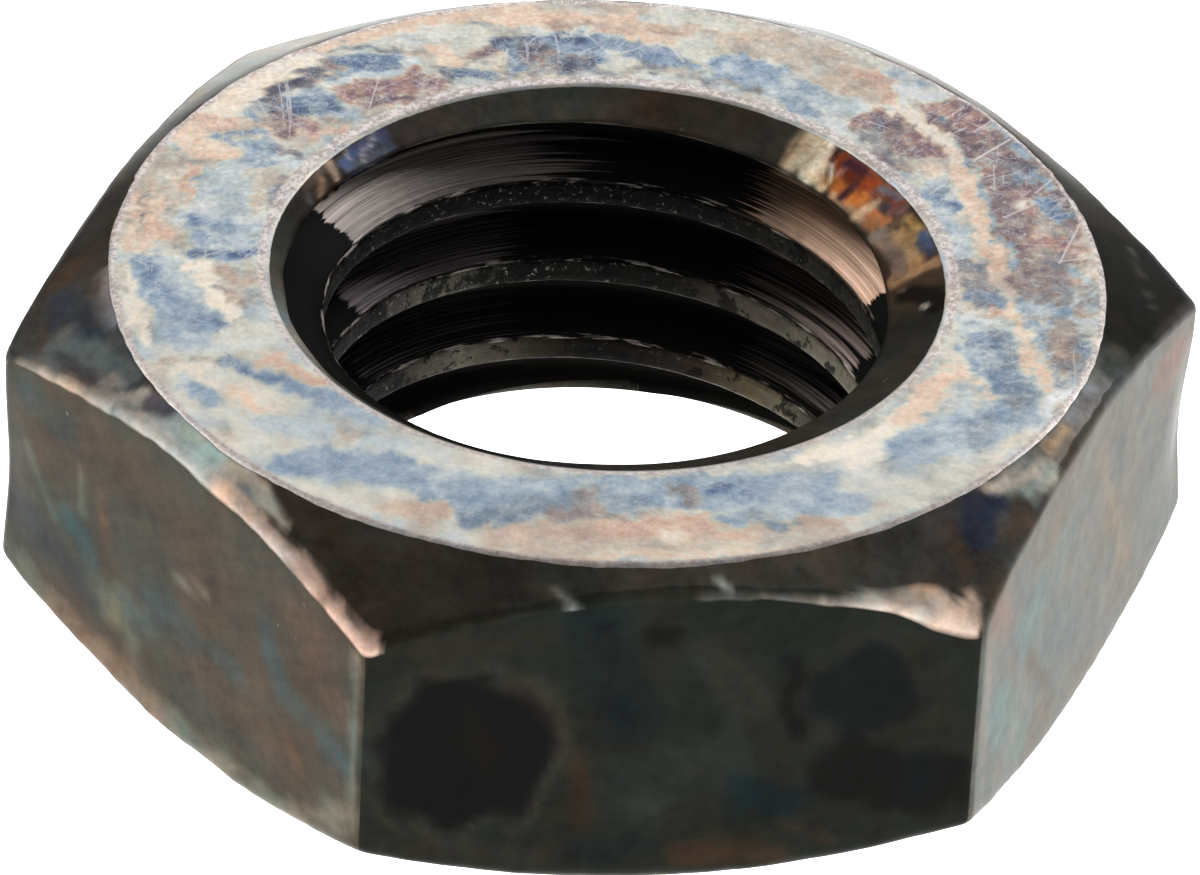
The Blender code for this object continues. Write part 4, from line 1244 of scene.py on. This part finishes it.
# A pale web, flecks and straight scratches, more of them where the stains are deep.
deep = maths(tree, "MAXIMUM", brown_here, blue_here)
stained = times(tree, step(tree, deep, 0.25, 0.65), crisp_here)
web = line_at(tree, noise(tree, place, 1500.0, 5.0, 0.65), 0.5, 0.020, 0.004)
web = times(tree, web, scaled(tree, stained, 0.30, 0.08))
tint = blend_colour(tree, web, tint, seen(208, 216, 226))
flecks = step(tree, noise(tree, elsewhere, 7500.0, 3.0, 0.7), 0.58, 0.68)
flecks = times(tree, flecks, scaled(tree, stained, 0.38, 0.06))
tint = blend_colour(tree, flecks, tint, seen(224, 218, 224))
bend_inputs = {"Vector": place, "Scale": 260.0, "Detail": 1.0}
bend = add(tree, "ShaderNodeTexNoise", None, bend_inputs).outputs["Color"]
bend = vector_maths(tree, "SUBTRACT", {0: bend, 1: (0.5, 0.5, 0.5)})
bend = vector_maths(tree, "SCALE", {0: bend, "Scale": 0.9 * MM})
bent = vector_maths(tree, "ADD", {0: place, 1: bend})
hair = use(tree, scratch, {"Vector": bent, "Scale": 15000.0, "Rarity": 0.685}).outputs["Mask"]
some_places = step(tree, noise(tree, elsewhere, 330.0, 2.0), 0.40, 0.60)
hair_strength = plus(tree, times(tree, stained, 0.32), times(tree, crisp_here, 0.20))
hair = times(tree, times(tree, hair, some_places), hair_strength)
tint = blend_colour(tree, hair, tint, seen(228, 222, 222))

# The scratches long enough to pick out: start x and y, end x and y, width and strength.
LONG_SCRATCHES = (
    (7.22, 3.05, 7.90, 3.78, 0.045, 0.80),
    (7.30, 4.02, 7.62, 4.42, 0.035, 0.65),
    (6.82, 4.45, 7.12, 4.86, 0.030, 0.60),
    (8.10, 1.98, 8.50, 2.45, 0.035, 0.65),
    (7.38, 1.14, 7.98, 1.60, 0.040, 0.55),
    (7.42, 2.05, 7.56, 2.90, 0.025, 0.50),
    (8.22, -0.34, 8.78, 1.05, 0.035, 0.70),
    (8.20, -0.30, 8.85, -0.08, 0.030, 0.55),
    (7.50, 0.26, 8.10, 0.22, 0.030, 0.40),
    (6.28, 0.12, 6.50, 0.48, 0.035, 0.60),
    (6.20, 2.08, 6.62, 2.42, 0.030, 0.50),
    (2.20, 7.62, 2.34, 6.82, 0.045, 0.60),
    (4.68, 7.42, 5.05, 6.85, 0.040, 0.50),
    (-0.88, 7.42, -1.02, 6.86, 0.040, 0.60),
    (-4.56, 7.62, -4.48, 7.15, 0.040, 0.60),
    (-5.76, 6.25, -5.70, 5.45, 0.045, 0.45),
    (-2.70, 6.40, -2.30, 6.62, 0.025, 0.45),
    (0.62, 7.90, 0.95, 7.20, 0.030, 0.45),
)
for x0, y0, x1, y1, width, strength in LONG_SCRATCHES:
    inputs = {
        "Vector": bent,
        "Start": (x0 * MM, y0 * MM, 0.0),
        "Way": ((x1 - x0) * MM, (y1 - y0) * MM, 0.0),
        "Width": width * MM,
    }
    long_scratch = times(tree, use(tree, gouge, inputs).outputs["Mask"], strength)
    tint = blend_colour(tree, long_scratch, tint, seen(232, 226, 226))

# Rims of the face, rubbed to a sparkling pinkish white.
sparkle = step(tree, noise(tree, place, 9500.0, 3.0, 0.7), 0.40, 0.60)
sparkle = times(tree, sparkle, scaled(tree, crisp_here, 0.7, 0.3))
rim_colour = blend_colour(tree, sparkle, seen(182, 168, 164), seen(240, 230, 226))
rub_noise = swing(tree, fine, scaled(tree, crisp_here, 1.1, 0.3))
rubbed_here = step(tree, plus(tree, attribute(tree, "rubbed"), rub_noise), 0.2, 0.8)
tint = blend_colour(tree, times(tree, rubbed_here, 0.8), tint, rim_colour)

# The scale itself: its colour from the tone field, which holds painted light and shade as well as the
# scale's own colour, clouded teal and brown, with streaks that climb across the flats.
tone = attribute(tree, "tone", "Color")
shine_here = attribute(tree, "shine")
cloud = noise(tree, place, 420.0, 5.0, 0.62)
cloud_two = noise(tree, elsewhere, 900.0, 5.0, 0.65)
climb = (0.0, math.radians(-30.0), math.radians(-60.0))
climbing = mapped(tree, place, "TEXTURE", Rotation=climb, Scale=(6.0, 1.0, 1.0))
streaks = noise(tree, climbing, 2400.0, 4.0, 0.65)
cloud_tints = ((0.34, seen(214, 244, 255)), (0.50, seen(246, 246, 246)), (0.66, seen(255, 232, 214)))
scale_colour = blend_colour(tree, 1.0, tone, ramp(tree, cloud, cloud_tints), "MULTIPLY")
uneven = plus(tree, times(tree, cloud_two, 1.5), times(tree, streaks, 1.1))
uneven = plus(tree, plus(tree, uneven, times(tree, fine, 0.9)), -0.72)
scale_colour = blend_colour(tree, 1.0, scale_colour, uneven, "MULTIPLY")
burnt = step(tree, noise(tree, elsewhere, 2400.0, 5.0, 0.7), 0.44, 0.62)
burnt = times(tree, times(tree, burnt, shine_here), 0.35)
scale_colour = blend_colour(tree, burnt, scale_colour, seen(46, 28, 22))
specks = step(tree, noise(tree, place, 3600.0, 1.0, 0.5), 0.80, 0.84)
scale_colour = blend_colour(tree, times(tree, specks, 0.5), scale_colour, seen(120, 116, 104))

# Ragged borders where the scale has come off.
bare = step(tree, plus(tree, clear_here, swing(tree, fine, 0.5)), 0.38, 0.62)
colour = blend_colour(tree, bare, scale_colour, tint)
tree.links.new(colour, shader.inputs["Base Color"])
tree.links.new(maths(tree, "MAXIMUM", bare, shine_here), shader.inputs["Metallic"])
scale_rough = plus(tree, scaled(tree, cloud_two, 0.25, 0.22), attribute(tree, "matte"))
bare_rough = scaled(tree, fine, 0.25, 0.28)
tree.links.new(blend_value(tree, bare, scale_rough, bare_rough), shader.inputs["Roughness"])
shader.inputs["IOR"].default_value = 1.12
bump_height = plus(tree, times(tree, fine, 0.6), times(tree, grit, 0.4))
bump = add(tree, "ShaderNodeBump", None, {"Height": bump_height, "Strength": 0.35, "Distance": 0.02 * MM})
tree.links.new(bump.outputs[0], shader.inputs["Normal"])
mesh.materials.append(scale_steel)


# Cut thread
# The flanks are smooth and black with fine tool lines that follow the helix, with a painted highlight
# of paler metal at the left and right. The crests are where the tap tore the steel: rough, grey-green,
# with bright broken edges that are partly a painted highlight, and painted light and shade by angle.

cut_steel, tree, shader = new_material("cut_thread")
place = add(tree, "ShaderNodeTexCoord").outputs["Object"]
thread_uv = add(tree, "ShaderNodeUVMap", {"uv_map": "thread"}).outputs[0]
across = add(tree, "ShaderNodeSeparateXYZ", None, {0: thread_uv}).outputs[1]
from_groove = maths(tree, "SUBTRACT", maths(tree, "FRACT", plus(tree, across, 0.5)), 0.5)
tool_lines = noise(tree, mapped(tree, thread_uv, Scale=(6.0, 60.0, 1.0)), 1.0, 4.0, 0.7)
tone = attribute(tree, "tone", "Color")
shine_here = attribute(tree, "shine")
pits_here = attribute(tree, "light")
patch = noise(tree, place, 1600.0, 5.0, 0.7)
torn = noise(tree, place, 5200.0, 4.0, 0.7)
dashes = noise(tree, mapped(tree, thread_uv, Scale=(46.0, 26.0, 1.0)), 1.0, 3.0, 0.6)
on_crest = step(tree, maths(tree, "ABSOLUTE", from_groove), CREST_EDGE - 0.013, CREST_EDGE + 0.012)
# A flank's painted highlight shows only along some of its tool lines where the highlight gives out.
flank_highlight = plus(tree, shine_here, swing(tree, tool_lines, 1.9))
flank_highlight = times(tree, step(tree, flank_highlight, 0.42, 0.62), maths(tree, "SUBTRACT", 1.0, on_crest))
flank_colour = blend_colour(tree, 1.0, tone, scaled(tree, tool_lines, 3.4, -0.7), "MULTIPLY")
flank_colour = blend_colour(tree, flank_highlight, seen(24, 23, 21), flank_colour)
rough_patch = plus(tree, times(tree, patch, 1.3), times(tree, torn, 0.9))
crest_colour = blend_colour(tree, 1.0, tone, plus(tree, rough_patch, -0.1), "MULTIPLY")
pit = step(tree, plus(tree, patch, times(tree, pits_here, 0.16)), 0.56, 0.62)
crest_colour = blend_colour(tree, times(tree, pit, 0.9), crest_colour, seen(8, 8, 7))
sparks = step(tree, noise(tree, place, 9000.0, 3.0, 0.75), 0.60, 0.70)
crest_colour = blend_colour(tree, times(tree, sparks, pits_here), crest_colour, seen(150, 146, 136))
colour = blend_colour(tree, on_crest, flank_colour, crest_colour)
# Both edges of a crest are broken bright in dashes, the upper one the more: torn burrs with a painted
# highlight laid into their colour.
in_pitch = maths(tree, "FRACT", across)
upper_edge = line_at(tree, in_pitch, 1.0 - CREST_EDGE, 0.030, 0.008)
lower_edge = line_at(tree, in_pitch, CREST_EDGE, 0.012, 0.004)
upper_dashes = times(tree, upper_edge, step(tree, dashes, 0.52, 0.64))
lower_dashes = times(tree, lower_edge, times(tree, step(tree, dashes, 0.45, 0.60), 0.25))
burr_and_highlight = maths(tree, "MAXIMUM", upper_dashes, lower_dashes)
colour = blend_colour(tree, burr_and_highlight, colour, seen(190, 180, 172))
tree.links.new(colour, shader.inputs["Base Color"])
metal_here = maths(tree, "MAXIMUM", flank_highlight, times(tree, burr_and_highlight, 0.4))
tree.links.new(metal_here, shader.inputs["Metallic"])
tree.links.new(blend_value(tree, on_crest, 0.34, 0.5), shader.inputs["Roughness"])
shader.inputs["IOR"].default_value = 1.09
tool_bump = add(tree, "ShaderNodeBump", None, {"Height": tool_lines, "Strength": 0.35, "Distance": 0.03 * MM})
torn_height = times(tree, torn, on_crest)
bump_inputs = {"Height": torn_height, "Strength": 0.6, "Distance": 0.04 * MM, "Normal": tool_bump.outputs[0]}
crest_bump = add(tree, "ShaderNodeBump", None, bump_inputs)
tree.links.new(crest_bump.outputs[0], shader.inputs["Normal"])
mesh.materials.append(cut_steel)
mesh.polygons.foreach_set("material_index", is_thread.astype(np.int32))


# Floor
# A wide sheet of white acrylic over a light table, which the nut rests on. It isn't part of the nut.

FLOOR_REACH = 3.0
FLOOR_HEIGHT = -0.00001
floor_mesh = bpy.data.meshes.new("light_table")
floor_corners = [
    (across * FLOOR_REACH, back * FLOOR_REACH, FLOOR_HEIGHT)
    for across, back in ((-1, -1), (1, -1), (1, 1), (-1, 1))
]
floor_mesh.from_pydata(floor_corners, [], [(0, 1, 2, 3)])
floor = bpy.data.objects.new("light_table", floor_mesh)
bpy.context.scene.collection.objects.link(floor)
acrylic, tree, shader = new_material("white_acrylic")
shader.inputs["Base Color"].default_value = (0.82, 0.82, 0.82, 1.0)
shader.inputs["Roughness"].default_value = 0.6
shader.inputs["Emission Color"].default_value = (1.0, 1.0, 1.0, 1.0)
shader.inputs["Emission Strength"].default_value = 2.3
floor_mesh.materials.append(acrylic)


# Studio light
# A dim room with three soft boxes in an arc behind the nut, the two at the ends the brighter.

world = bpy.data.worlds.new("white_room")
world.use_nodes = True
world.node_tree.nodes["Background"].inputs["Color"].default_value = (1.0, 1.0, 1.0, 1.0)
world.node_tree.nodes["Background"].inputs["Strength"].default_value = 0.18
bpy.context.scene.world = world
bpy.context.scene.view_settings.view_transform = "Standard"


def soft_box(name, round_degrees, up_degrees, distance, width, depth, brightness):
    """Area light that faces the nut. Its watts are its brightness times pi times its area."""
    round_way, up_way = math.radians(round_degrees), math.radians(up_degrees)
    place = Vector((
        math.cos(round_way) * math.cos(up_way),
        math.sin(round_way) * math.cos(up_way),
        math.sin(up_way),
    )) * distance
    lamp = bpy.data.lights.new(name, "AREA")
    lamp.shape = "RECTANGLE"
    lamp.size = width
    lamp.size_y = depth
    lamp.energy = brightness * math.pi * width * depth
    box = bpy.data.objects.new(name, lamp)
    box.location = place
    box.rotation_mode = "QUATERNION"
    box.rotation_quaternion = (-place).to_track_quat("-Z", "Y")
    bpy.context.scene.collection.objects.link(box)


soft_box("back_box", 81.0, 31.0, 0.8, 0.62, 0.60, 1.0)
soft_box("left_box", 138.0, 42.0, 0.8, 0.40, 0.42, 2.6)
soft_box("right_box", 32.0, 34.0, 0.8, 0.40, 0.42, 2.6)


# Camera
# A long lens from the front, a little over 34 degrees up, with the slight tilt of the photograph.

VIEW_RISE = math.radians(34.431)
VIEW_TURN = math.radians(-9.364)
VIEW_ROLL = math.radians(3.024)
VIEW_DISTANCE = 225.0
AIM_RIGHT = -0.138
AIM_UP = -2.977
LENS = 373.5
heading = Matrix.Rotation(VIEW_TURN, 3, "Z")
forward = heading @ Vector((0.0, math.cos(VIEW_RISE), -math.sin(VIEW_RISE)))
level_right = heading @ Vector((1.0, 0.0, 0.0))
level_up = heading @ Vector((0.0, math.sin(VIEW_RISE), math.cos(VIEW_RISE)))
right = level_right * math.cos(VIEW_ROLL) + level_up * math.sin(VIEW_ROLL)
up = level_up * math.cos(VIEW_ROLL) - level_right * math.sin(VIEW_ROLL)
middle = Vector((0.0, 0.0, HEIGHT))
eye = middle - forward * VIEW_DISTANCE
look = (middle + right * AIM_RIGHT + up * AIM_UP - eye).normalized()
side_way = look.cross(up).normalized()
upright = side_way.cross(look)
lens = bpy.data.cameras.new("camera")
lens.lens = LENS
lens.sensor_width = 36.0
lens.clip_start = 0.01
lens.clip_end = 20.0
camera = bpy.data.objects.new("camera", lens)
facing = Matrix((side_way, upright, -look)).transposed().to_4x4()
camera.matrix_world = Matrix.Translation(eye * MM) @ facing
bpy.context.scene.collection.objects.link(camera)
bpy.context.scene.camera = camera
